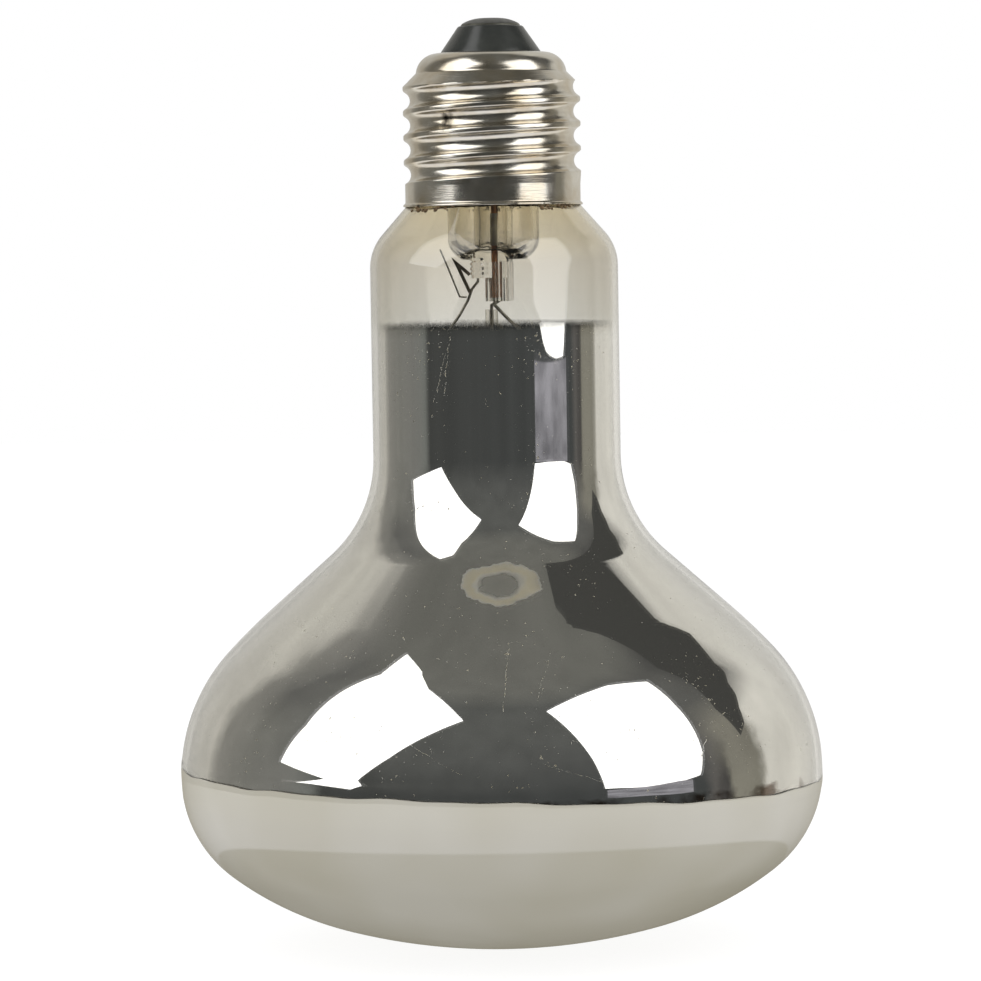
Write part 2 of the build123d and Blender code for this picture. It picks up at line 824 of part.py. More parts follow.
# Arc tube: quartz capsule with a flat pinch at each end and a tip-off at its side
arc_ends = arc_straight / 2
with BuildPart() as arc_tube:
    with BuildSketch(Plane.XY.offset(arc_middle - arc_ends)):
        Circle(arc_radius)
    extrude(amount=arc_straight)
    with Locations((0, 0, arc_middle - arc_ends), (0, 0, arc_middle + arc_ends)):
        Sphere(arc_radius)
    for side in (-1, 1):
        with BuildSketch(Plane.XY.offset(arc_middle + side * pinch_root)):
            RectangleRounded(pinch_width, pinch_thickness, pinch_edge)
        extrude(amount=side * pinch_length)
    with BuildSketch(Plane.YZ.offset(arc_radius - arc_wall / 2)):
        with Locations((0, arc_middle)):
            Circle(nipple_radius)
    extrude(amount=nipple_length, taper=nipple_taper)
    with BuildSketch(Plane.XY.offset(arc_middle - arc_ends)):
        Circle(arc_radius - arc_wall)
    extrude(amount=arc_straight, mode=Mode.SUBTRACT)
    with Locations((0, 0, arc_middle - arc_ends), (0, 0, arc_middle + arc_ends)):
        Sphere(arc_radius - arc_wall, mode=Mode.SUBTRACT)
    for x, side, rod in (
        (-lead_spread, 1, electrode_rod),
        (lead_spread, 1, starter_rod),
        (0, -1, electrode_rod),
    ):
        foil_start = arc_middle + side * foil_root
        with BuildSketch(Plane((x, 0, foil_start))):
            Rectangle(foil_width, foil_thickness)
        extrude(amount=side * foil_length, mode=Mode.SUBTRACT)
        with BuildSketch(Plane((x, 0, foil_start))):
            Circle(rod)
        extrude(amount=-side * (foil_root - arc_ends), mode=Mode.SUBTRACT)
        with BuildSketch(Plane((x, 0, foil_start + side * foil_length))):
            Circle(rod)
        extrude(amount=side * foil_length, mode=Mode.SUBTRACT)
arc_tube.part.label = "arc_tube"
export_step(arc_tube.part, "parts/arc_tube.step")

# Molybdenum foils, sealed in the pinches
with BuildPart() as seal_foils:
    for x, side in ((-lead_spread, 1), (lead_spread, 1), (0, -1)):
        with BuildSketch(Plane((x, 0, arc_middle + side * foil_root))):
            Rectangle(foil_width, foil_thickness)
        extrude(amount=side * foil_length)
seal_foils.part.label = "seal_foils"
export_step(seal_foils.part, "parts/seal_foils.step")


def electrode(x, side, rod, reach, coil):
    """Makes a tungsten rod from its foil into the arc chamber, wound near its end if coil."""
    foil_start = arc_middle + side * foil_root
    with BuildPart() as piece:
        with BuildSketch(Plane((x, 0, foil_start))):
            Circle(rod)
        extrude(amount=-side * reach)
        if coil:
            with BuildSketch(Plane((x, 0, foil_start - side * (reach - electrode_point)))):
                Circle(electrode_coil)
            extrude(amount=side * electrode_coil_length)
    return piece


upper_electrode = electrode(-lead_spread, 1, electrode_rod, electrode_reach, True)
upper_electrode.part.label = "upper_electrode"
export_step(upper_electrode.part, "parts/upper_electrode.step")

lower_electrode = electrode(0, -1, electrode_rod, electrode_reach, True)
lower_electrode.part.label = "lower_electrode"
export_step(lower_electrode.part, "parts/lower_electrode.step")

starter_electrode = electrode(lead_spread, 1, starter_rod, starter_reach, False)
starter_electrode.part.label = "starter_electrode"
export_step(starter_electrode.part, "parts/starter_electrode.step")

# Leads out of the arc tube
foil_far = foil_root + foil_length
with BuildPart() as arc_tube_leads:
    with BuildSketch(Plane((-lead_spread, 0, arc_middle + foil_far))):
        Circle(electrode_rod)
    extrude(amount=arc_lead_top - arc_middle - foil_far)
    with BuildSketch(Plane((0, 0, arc_middle - foil_far))):
        Circle(electrode_rod)
    extrude(amount=weld_height - 2 * rod_radius - arc_middle + foil_far)
arc_tube_leads.part.label = "arc_tube_leads"
export_step(arc_tube_leads.part, "parts/arc_tube_leads.step")

# Starting resistor with its leads, from the starter foil to the frame rod
starter_lead = bent_wire(
    [
        (lead_spread, 0, arc_middle + foil_far),
        (lead_spread, 0, arc_lead_top),
        (lead_spread, resistor_start, arc_lead_top),
    ],
    starter_rod,
)
starter_lead.part.label = "starter_lead"
export_step(starter_lead.part, "parts/starter_lead.step")

with BuildPart() as starting_resistor:
    with BuildSketch(Plane((lead_spread, resistor_start, arc_lead_top), z_dir=(0, 1, 0))):
        Circle(resistor_radius)
    extrude(amount=resistor_length)
starting_resistor.part.label = "starting_resistor"
export_step(starting_resistor.part, "parts/starting_resistor.step")

resistor_lead = bent_wire(
    [
        (lead_spread, resistor_start + resistor_length, arc_lead_top),
        (lead_spread, rod_y, arc_lead_top),
        (lead_spread, rod_y, bead_top + 2 * starter_rod),
        (rod_radius + touch_gap, rod_y, bead_top + 2 * starter_rod),
    ],
    starter_rod,
)
resistor_lead.part.label = "resistor_lead"
export_step(resistor_lead.part, "parts/resistor_lead.step")


def strap(side):
    """Makes a sheet band about one pinch, with a tail that meets the frame rod."""
    inner_width = pinch_width + 2 * seat_gap
    inner_depth = pinch_thickness + 2 * seat_gap
    band_y = inner_depth / 2 + strap_sheet
    tail = rod_y - rod_radius - touch_gap - band_y + strap_sheet / 2
    with BuildPart() as piece:
        with BuildSketch(Plane.XY.offset(arc_middle + side * strap_root)):
            RectangleRounded(
                inner_width + 2 * strap_sheet,
                inner_depth + 2 * strap_sheet,
                pinch_edge + strap_sheet,
            )
            RectangleRounded(inner_width, inner_depth, pinch_edge, mode=Mode.SUBTRACT)
            with Locations((0, band_y - strap_sheet / 2)):
                Rectangle(strap_sheet, tail, align=(Align.CENTER, Align.MIN))
        extrude(amount=side * strap_height)
    return piece


upper_strap = strap(1)
upper_strap.part.label = "upper_strap"
export_step(upper_strap.part, "parts/upper_strap.step")

lower_strap = strap(-1)
lower_strap.part.label = "lower_strap"
export_step(lower_strap.part, "parts/lower_strap.step")

# Ballast filament: a ring about the arc tube's upper pinch, open at the front right
with BuildPart() as filament:
    with BuildLine() as ring:
        CenterArc((0, 0, filament_height), filament_ring, filament_start, filament_sweep)
    with BuildSketch(Plane(origin=ring.line @ 0, z_dir=ring.line % 0)):
        Circle(filament_radius)
    sweep(path=ring.line)
filament.part.label = "filament"
export_step(filament.part, "parts/filament.step")

# Bridge from the filament's other end to the arc tube's upper lead
bridge_end = around(filament_ring, filament_start + filament_sweep, filament_top + touch_gap)
bridge_height = arc_lead_top - bridge_drop
bridge_lead = bent_wire(
    [
        bridge_end,
        (bridge_end[0], bridge_end[1], bridge_height),
        (-lead_spread, -bridge_reach, bridge_height),
        (-lead_spread, -electrode_rod - touch_gap, bridge_height),
    ],
    inner_wire,
)
bridge_lead.part.label = "bridge_lead"
export_step(bridge_lead.part, "parts/bridge_lead.step")

# Glass beads: one under the getter wire, one threaded on the frame rod
with BuildPart() as support_beads:
    with BuildSketch(Plane((getter_bead_x, 0, bead_top))):
        Circle(bead_radius)
    extrude(amount=-bead_height)
    with BuildSketch(Plane((0, rod_y, bead_top))):
        Circle(bead_radius)
        Circle(rod_radius + touch_gap, mode=Mode.SUBTRACT)
    extrude(amount=-bead_height)
support_beads.part.label = "support_beads"
export_step(support_beads.part, "parts/support_beads.step")

# Molybdenum hooks: each runs from its bead over the filament and round it in an eye
with BuildPart() as filament_hooks:
    for bead, middle in (((getter_bead_x, 0), 180.0), ((0, rod_y), 90.0)):
        for angle in (middle - hook_spread, middle, middle + hook_spread):
            held = around(filament_ring, angle, filament_height)
            away = Vector(held[0] - bead[0], held[1] - bead[1], 0)
            reach = away.length - bead_radius - touch_gap
            eye_plane = Plane(held, x_dir=away, z_dir=away.normalized().cross(Vector(0, 0, 1)))
            with BuildLine(eye_plane) as hook_route:
                Polyline(
                    (-reach, hook_eye),
                    (hook_eye, hook_eye),
                    (hook_eye, -hook_eye),
                    (-hook_eye, -hook_eye),
                )
            with BuildSketch(Plane(origin=hook_route.line @ 0, z_dir=hook_route.line % 0)):
                Circle(hook_wire)
            sweep(path=hook_route.line, transition=Transition.RIGHT)
filament_hooks.part.label = "filament_hooks"
export_step(filament_hooks.part, "parts/filament_hooks.step")
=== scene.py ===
"""Dresses a self-ballasted mercury vapour reflector lamp: blown glass, mirror, mount and cap."""

import json
import logging
import math
import random
from dataclasses import dataclass, field
from enum import Enum
from typing import Any

import bmesh
import bpy
from mathutils import Matrix, Vector

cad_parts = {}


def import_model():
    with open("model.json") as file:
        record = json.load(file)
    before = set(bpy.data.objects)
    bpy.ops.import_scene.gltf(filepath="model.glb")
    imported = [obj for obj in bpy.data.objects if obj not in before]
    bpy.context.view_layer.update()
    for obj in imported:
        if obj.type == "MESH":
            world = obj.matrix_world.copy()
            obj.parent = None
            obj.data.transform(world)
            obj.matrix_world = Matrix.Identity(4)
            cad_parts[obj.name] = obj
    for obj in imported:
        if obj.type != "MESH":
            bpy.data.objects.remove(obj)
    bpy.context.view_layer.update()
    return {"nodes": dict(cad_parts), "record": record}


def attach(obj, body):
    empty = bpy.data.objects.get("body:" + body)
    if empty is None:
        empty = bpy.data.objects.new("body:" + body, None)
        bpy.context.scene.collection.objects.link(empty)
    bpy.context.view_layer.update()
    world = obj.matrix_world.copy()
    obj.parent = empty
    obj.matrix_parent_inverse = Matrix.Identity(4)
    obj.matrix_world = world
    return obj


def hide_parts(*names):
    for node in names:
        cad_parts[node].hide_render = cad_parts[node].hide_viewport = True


LOG = logging.getLogger("reflector_lamp")
MM = 0.001
BODY = "root"
Tree = bpy.types.NodeTree
Node = bpy.types.Node
Source = bpy.types.Node | bpy.types.NodeSocket
Material = bpy.types.Material
Mesh = bmesh.types.BMesh


class Fineness(Enum):
    """How many steps a full turn is divided into."""

    CAP = 180
    # Keeps both walls of the envelope together under 200,000 triangles.
    BULB = 168


def colour(code: str) -> tuple[float, float, float, float]:
    """Turns an sRGB hex colour into the linear colour that a shader takes.

    Args:
        code: Six hex digits after a hash.

    Returns:
        Linear red, green and blue, and an alpha of one.
    """
    parts = [int(code[i : i + 2], 16) / 255 for i in (1, 3, 5)]
    linear = [p / 12.92 if p <= 0.04045 else ((p + 0.055) / 1.055) ** 2.4 for p in parts]
    return (linear[0], linear[1], linear[2], 1.0)


def fill(tree: Tree, node: Node, inputs: dict[str | int, Any]) -> None:
    """Fills a node's inputs.

    Args:
        tree: The node tree.
        node: The node that gets the values.
        inputs: A value for each name or index. A socket is linked, and of a node its first output.
    """
    for key, value in inputs.items():
        source = value.outputs[0] if isinstance(value, Node) else value
        if isinstance(source, bpy.types.NodeSocket):
            tree.links.new(source, node.inputs[key])
        else:
            node.inputs[key].default_value = source


def add_node(
    tree: Tree,
    kind: str,
    settings: dict[str, Any] | None = None,
    inputs: dict[str | int, Any] | None = None,
) -> Node:
    """Adds a node and fills it in.

    Args:
        tree: The node tree that gets the node.
        kind: The node's type name, without the ShaderNode that it begins with.
        settings: Properties of the node itself.
        inputs: What goes into its inputs, as fill takes it.

    Returns:
        The new node.
    """
    node = tree.nodes.new("ShaderNode" + kind)
    for name, value in (settings or {}).items():
        setattr(node, name, value)
    fill(tree, node, inputs or {})
    return node


def set_ramp(node: Node, stops: list[tuple[float, tuple[float, ...]]]) -> None:
    """Puts the stops of a colour ramp in place.

    Args:
        node: The colour ramp.
        stops: Place and colour of each stop, from the lowest place up.
    """
    elements = node.color_ramp.elements
    while len(elements) < len(stops):
        elements.new(0.5)
    for element, (place, shade) in zip(elements, stops):
        element.position = place
        element.color = shade


def begin_surface(name: str) -> tuple[Material, Tree]:
    """Starts a node material with an empty tree.

    Args:
        name: The material's name.

    Returns:
        The material and its node tree.
    """
    material = bpy.data.materials.new(name)
    material.use_nodes = True
    material.node_tree.nodes.clear()
    return material, material.node_tree


def begin_material(name: str) -> tuple[Material, Tree, Node]:
    """Starts a node material with one principled shader.

    Args:
        name: The material's name.

    Returns:
        The material, its node tree and its principled shader.
    """
    material, tree = begin_surface(name)
    shader = add_node(tree, "BsdfPrincipled")
    add_node(tree, "OutputMaterial", inputs={"Surface": shader})
    return material, tree, shader


def combine(tree: Tree, operation: str, first: Source, *others: Source) -> Source:
    """Joins masks: MULTIPLY where all of them must hold, MAXIMUM where one is enough.

    Args:
        tree: The material's node tree.
        operation: How each mask is joined to those before it.
        first: The first mask.
        others: The masks that follow.

    Returns:
        The last node of the chain.
    """
    joined = first
    for other in others:
        joined = add_node(tree, "Math", {"operation": operation}, {0: joined, 1: other})
    return joined


def add_bump(tree: Tree, shader: Node, height: Source, depth_mm: float, strength: float = 1.0) -> None:
    """Raises a surface by a pattern.

    Args:
        tree: The material's node tree.
        shader: The principled shader.
        height: The pattern, from zero to one.
        depth_mm: How deep the pattern is.
        strength: How much of it shows.
    """
    bump = add_node(
        tree, "Bump", inputs={"Height": height, "Distance": depth_mm * MM, "Strength": strength}
    )
    fill(tree, shader, {"Normal": bump})


def add_noise(tree: Tree, grain_mm: float, detail: float = 2.0, stretch: float = 1.0) -> Node:
    """Adds a noise on the object's own coordinates.

    Args:
        tree: The material's node tree.
        grain_mm: The size of one patch of the noise.
        detail: How many finer layers it has.
        stretch: How much longer the patches are along the lamp's axis.

    Returns:
        The noise node.
    """
    place = add_node(tree, "TexCoord")
    mapping = add_node(
        tree, "Mapping", inputs={"Vector": place.outputs["Object"], "Scale": (1.0, 1.0, 1.0 / stretch)}
    )
    return add_node(
        tree, "TexNoise", inputs={"Vector": mapping, "Scale": 1.0 / (grain_mm * MM), "Detail": detail}
    )


def add_parts(tree: Tree) -> Node:
    """Adds the place on the object, split into its parts across, back and up."""
    place = add_node(tree, "TexCoord")
    return add_node(tree, "SeparateXYZ", inputs={"Vector": place.outputs["Object"]})


def add_front(tree: Tree) -> Node:
    """Adds a mask that is one on the lamp's front half."""
    return add_node(tree, "Math", {"operation": "LESS_THAN"}, {0: add_parts(tree).outputs["Y"], 1: 0.0})


def paint_rim_shade(tree: Tree, facing: Source, base: Source, stops: list[tuple[float, str]]) -> Source:
    """Paints shade into a colour towards the silhouette, where the eye looks along the wall.

    Args:
        tree: The material's node tree.
        facing: How far the surface turns away from the eye.
        base: The colour seen straight on.
        stops: Turn and hex colour of the painted shade at each stop.

    Returns:
        A socket with the colour and its painted shade.
    """
    rim = add_node(tree, "ValToRGB", inputs={0: facing})
    set_ramp(rim, [(place, colour(code)) for place, code in stops])
    rim_shaded = add_node(
        tree, "Mix", {"data_type": "RGBA", "blend_type": "MULTIPLY"}, {0: 1.0, 6: base, 7: rim}
    )
    return rim_shaded.outputs[2]


@dataclass(frozen=True)
class GlassFinish:
    """Clear glass, blown in a mould or drawn as tube.

    The eye gets a clean, colourless wall with a warm painted shade where it is seen edge on, and a
    slow ripple that bends what stands behind it.
    """

    name: str
    stops: tuple[tuple[float, str], ...]
    ior: float = 1.52
    ripple_mm: float = 14.0
    ripple_depth_mm: float = 0.02
    ripple_stretch: float = 1.0
    # The colour of the painted shade at the silhouette, and the span of turns over which it comes in.
    edge: str = "#FFFFFF"
    edge_shade_span: tuple[float, float] = (0.05, 0.6)

    def make(self) -> Material:
        """Makes the material: a painted shade that deepens towards the cap and the edges, and a wave."""
        material, tree, shader = begin_material(self.name)
        # A colour ramp up the axis: on the envelope a painted shade of the cap, faintly straw, deepening
        # towards it.
        level = add_parts(tree).outputs["Z"]
        low, high = self.stops[0][0], self.stops[-1][0]
        share = add_node(
            tree, "MapRange", inputs={"Value": level, "From Min": low * MM, "From Max": high * MM}
        )
        ramp = add_node(tree, "ValToRGB", inputs={0: share})
        set_ramp(ramp, [((z - low) / (high - low), colour(tint)) for z, tint in self.stops])
        # Painted shade at the silhouette, where the wall is seen edge on.
        facing = add_node(tree, "LayerWeight", inputs={"Blend": 0.5})
        stops = [(self.edge_shade_span[0], "#FFFFFF"), (self.edge_shade_span[1], self.edge)]
        tint = paint_rim_shade(tree, facing.outputs["Facing"], ramp, stops)
        fill(tree, shader, {"Base Color": tint, "Transmission Weight": 1.0})
        fill(tree, shader, {"Roughness": 0.0, "IOR": self.ior})
        noise = add_noise(tree, self.ripple_mm, 1.0, self.ripple_stretch)
        add_bump(tree, shader, noise, self.ripple_depth_mm)
        return material


@dataclass(frozen=True)
class SatinFinish:
    """Soda-lime glass with an etched inner face.

    The eye gets an even cream that seems to lie a little below the surface, with painted shade at
    the silhouette, under a smooth outer skin with soft reflections, which weaken towards it.
    """

    name: str = "satin_etched_glass"
    pale: str = "#CAC7BD"
    deep: str = "#C1BDAF"
    cloud_mm: float = 22.0
    cloud_span: tuple[float, float] = (0.35, 0.68)
    body_roughness: float = 0.6
    body_gloss: float = 0.1
    gloss_span: tuple[float, float] = (0.45, 0.9)
    edge_gloss: float = 0.05
    # Painted shade that darkens the cream towards the silhouette, and the span of turns where it comes in.
    rim_shade_span: tuple[float, float] = (0.62, 0.97)
    rim_shade: str = "#E2E0DA"
    skin_ior: float = 1.85
    skin_roughness: float = 0.02
    # The etched grain is about 0.05 mm, a third of a pixel, so it is drawn five times as coarse.
    grain_mm: float = 0.25
    grain_depth_mm: float = 0.01

    def make(self) -> Material:
        """Makes the material: milky and even, with slow drifts between two creams and painted shade at the
        rim.
        """
        material, tree, shader = begin_material(self.name)
        noise = add_noise(tree, self.cloud_mm, 2.0)
        ramp = add_node(tree, "ValToRGB", inputs={0: noise})
        set_ramp(ramp, [(self.cloud_span[0], colour(self.pale)), (self.cloud_span[1], colour(self.deep))])
        fill(tree, shader, {"Roughness": self.body_roughness, "Specular IOR Level": self.body_gloss})
        facing = add_node(tree, "LayerWeight", inputs={"Blend": 0.5}).outputs["Facing"]
        gloss = add_node(
            tree,
            "MapRange",
            inputs={
                "Value": facing,
                "From Min": self.gloss_span[0],
                "From Max": self.gloss_span[1],
                "To Min": 1.0,
                "To Max": self.edge_gloss,
            },
        )
        fill(tree, shader, {"Coat Weight": gloss})
        # Painted shade darkens the cream at the silhouette.
        stops = [(self.rim_shade_span[0], "#FFFFFF"), (self.rim_shade_span[1], self.rim_shade)]
        body = paint_rim_shade(tree, facing, ramp, stops)
        fill(tree, shader, {"Base Color": body, "Coat IOR": self.skin_ior})
        fill(tree, shader, {"Coat Roughness": self.skin_roughness})
        grain = add_noise(tree, self.grain_mm, 1.0)
        add_bump(tree, shader, grain, self.grain_depth_mm, 0.3)
        return material


@dataclass(frozen=True)
class Scratch:
    """A thin wandering line where the metal is rubbed off the glass, in millimetres."""

    foot: tuple[float, float]
    tip: tuple[float, float]
    # A real scratch is finer than a pixel, so these are drawn as wide as they need to show.
    width: float = 0.07
    wander: float = 0.9
    wander_mm: float = 2.2
    gap_mm: float = 0.5
    gap_span: tuple[float, float] = (0.42, 0.55)
    core_share: float = 0.4

    def add(self, tree: Tree) -> Source:
        """Adds the line's mask.

        Args:
            tree: The material's node tree.

        Returns:
            A socket that is one on the line.
        """
        parts = add_parts(tree)
        (foot_x, foot_z), (tip_x, tip_z) = self.foot, self.tip
        share = add_node(
            tree,
            "MapRange",
            {"clamp": False},
            {
                "Value": parts.outputs["Z"],
                "From Min": foot_z * MM,
                "From Max": tip_z * MM,
                "To Min": foot_x * MM,
                "To Max": tip_x * MM,
            },
        )
        sway = add_noise(tree, self.wander_mm, 3.0)
        swayed = add_node(
            tree, "Math", {"operation": "MULTIPLY_ADD"}, {0: sway, 1: self.wander * MM, 2: share}
        )
        off = add_node(tree, "Math", {"operation": "SUBTRACT"}, {0: parts.outputs["X"], 1: swayed})
        away = add_node(tree, "Math", {"operation": "ABSOLUTE"}, {0: off})
        line = add_node(
            tree,
            "MapRange",
            inputs={
                "Value": away,
                "From Min": self.width * self.core_share * MM,
                "From Max": self.width * MM,
                "To Min": 1.0,
                "To Max": 0.0,
            },
        )
        span = add_node(
            tree,
            "Math",
            {"operation": "COMPARE"},
            {0: parts.outputs["Z"], 1: (foot_z + tip_z) / 2 * MM, 2: abs(tip_z - foot_z) / 2 * MM},
        )
        broken = add_noise(tree, self.gap_mm, 2.0)
        low, high = self.gap_span
        gaps = add_node(tree, "MapRange", inputs={"Value": broken, "From Min": low, "From Max": high})
        return combine(tree, "MULTIPLY", span, add_front(tree), gaps, line)


@dataclass(frozen=True)
class MirrorFinish:
    """Aluminium evaporated in vacuum onto the inside of the glass.

    The eye gets a true mirror, a little warm. Where dust or a scratch broke the metal it is pale and
    dull, an oval at the throat is a painted reflection made pale and dull alike, and the mirror thins
    out at the neck and browns at the face.
    """

    name: str = "evaporated_aluminium"
    bright: str = "#F4F3F1"
    # The pale colour of broken metal, also worn by the painted reflection at the throat.
    broken: str = "#FBF6E6"
    burnt: str = "#6B5540"
    scratches: tuple[Scratch, ...] = (
        Scratch((-7.9, 82.0), (-6.9, 90.2), 0.08),
        Scratch((-9.3, 81.0), (-7.6, 88.0), 0.05),
        Scratch((-0.2, 38.6), (0.7, 47.6), 0.08),
        Scratch((4.6, 40.2), (6.2, 45.0), 0.05),
        Scratch((26.0, 28.5), (27.6, 33.5), 0.06, 2.0),
        Scratch((-6.5, 30.2), (-14.0, 34.5), 0.07, 1.4),
        Scratch((5.0, 31.5), (16.5, 27.6), 0.06, 1.6),
        Scratch((9.0, 34.5), (14.5, 33.2), 0.06, 1.2),
        Scratch((-24.0, 36.8), (-18.5, 31.0), 0.06, 1.6),
    )
    # The flecks are dust specks of a tenth of a millimetre, drawn about five times as coarse.
    fleck_mm: float = 0.55
    fleck_cloud_mm: float = 9.0
    fleck_cloud_share: float = 0.28
    fleck_span: tuple[float, float] = (0.865, 0.895)
    clear_roughness: float = 0.012
    broken_and_painted_roughness: float = 0.95
    broken_and_painted_metal: float = 0.9
    # A painted reflection at the throat: an oval where the mirror is pale and dull, given by its centre,
    # half sizes, ring and ragged edge.
    painted_reflection: tuple[float, float] = (0.2, 55.1)
    painted_reflection_half: tuple[float, float] = (8.4, 4.1)
    painted_reflection_ring: tuple[tuple[float, str], ...] = (
        (0.0, "#7A7A7A"), (0.54, "#8C8C8C"), (0.7, "#FFFFFF"), (0.82, "#F0F0F0"), (0.9, "#000000")
    )
    painted_reflection_grain_mm: float = 2.6
    painted_reflection_waver: float = 0.4
    ragged_mm: float = 1.4
    ragged_rise: float = 0.9
    fade_low: float = 91.3
    fade_high: float = 92.7
    fringe_low: float = 25.9
    fringe_high: float = 26.5
    fringe_patch_mm: float = 5.0
    fringe_span: tuple[float, float] = (0.46, 0.6)
    wall_wave_mm: float = 16.0
    wall_wave_depth_mm: float = 0.02

    def add_painted_reflection(self, tree: Tree) -> Source:
        """Adds the painted reflection at the throat: an oval, pale ring with a faint middle.

        Args:
            tree: The material's node tree.

        Returns:
            A socket with the painted reflection's strength.
        """
        place = add_node(tree, "TexCoord")
        across, up = self.painted_reflection
        half_x, half_z = self.painted_reflection_half
        centred = add_node(
            tree,
            "Mapping",
            inputs={
                "Vector": place.outputs["Object"],
                "Location": (-across / half_x, 0.0, -up / half_z),
                "Scale": (1 / (half_x * MM), 0.0, 1 / (half_z * MM)),
            },
        )
        reach = add_node(tree, "VectorMath", {"operation": "LENGTH"}, {0: centred})
        edge = add_noise(tree, self.painted_reflection_grain_mm, 3.0)
        wavy = add_node(
            tree,
            "Math",
            {"operation": "MULTIPLY_ADD"},
            {0: edge, 1: self.painted_reflection_waver, 2: reach.outputs["Value"]},
        )
        ring = add_node(tree, "ValToRGB", inputs={0: wavy})
        set_ramp(ring, [(place, colour(code)) for place, code in self.painted_reflection_ring])
        return combine(tree, "MULTIPLY", ring, add_front(tree))

    def make(self) -> Material:
        """Makes the material: mirror bright, pale where broken and in the painted reflection, brown and
        thin at its ends.
        """
        material, tree, shader = begin_material(self.name)
        dust = add_noise(tree, self.fleck_mm, 2.0)
        clouds = add_noise(tree, self.fleck_cloud_mm, 1.0)
        likely = add_node(
            tree, "Math", {"operation": "MULTIPLY_ADD"}, {0: clouds, 1: self.fleck_cloud_share, 2: dust}
        )
        fleck = add_node(
            tree,
            "MapRange",
            inputs={"Value": likely, "From Min": self.fleck_span[0], "From Max": self.fleck_span[1]},
        )
        # Dust flecks and scratches break the metal; the oval at the throat is a painted reflection with the
        # same pale, dull look.
        breaks_and_painted_reflection = [scratch.add(tree) for scratch in self.scratches] + [self.add_painted_reflection(tree)]
        mask = combine(tree, "MAXIMUM", fleck, *breaks_and_painted_reflection)
        for socket, whole, broken in (
            ("Metallic", 1.0, self.broken_and_painted_metal), ("Roughness", self.clear_roughness, self.broken_and_painted_roughness)
        ):
            value = add_node(tree, "MapRange", inputs={"Value": mask, "To Min": whole, "To Max": broken})
            fill(tree, shader, {socket: value})
        level = add_parts(tree).outputs["Z"]
        ragged = add_noise(tree, self.ragged_mm, 4.0)
        lifted = add_node(
            tree, "Math", {"operation": "MULTIPLY_ADD"}, {0: ragged, 1: self.ragged_rise * MM, 2: level}
        )
        fringe, fade = [
            add_node(
                tree,
                "MapRange",
                inputs={
                    "Value": lifted,
                    "From Min": (low + self.ragged_rise / 2) * MM,
                    "From Max": (high + self.ragged_rise / 2) * MM,
                    "To Min": 1.0,
                    "To Max": 0.0,
                },
            )
            for low, high in ((self.fringe_low, self.fringe_high), (self.fade_low, self.fade_high))
        ]
        patches = add_noise(tree, self.fringe_patch_mm, 3.0)
        patchy = add_node(
            tree,
            "MapRange",
            inputs={"Value": patches, "From Min": self.fringe_span[0], "From Max": self.fringe_span[1]},
        )
        stained = combine(tree, "MULTIPLY", fringe, patchy)
        sound = add_node(
            tree, "Mix", {"data_type": "RGBA"}, {0: stained, 6: colour(self.bright), 7: colour(self.burnt)}
        )
        mix = add_node(
            tree, "Mix", {"data_type": "RGBA"}, {0: mask, 6: sound.outputs[2], 7: colour(self.broken)}
        )
        fill(tree, shader, {"Base Color": mix.outputs[2], "Alpha": fade})
        wave = add_noise(tree, self.wall_wave_mm, 0.0)
        add_bump(tree, shader, wave, self.wall_wave_depth_mm)
        return material


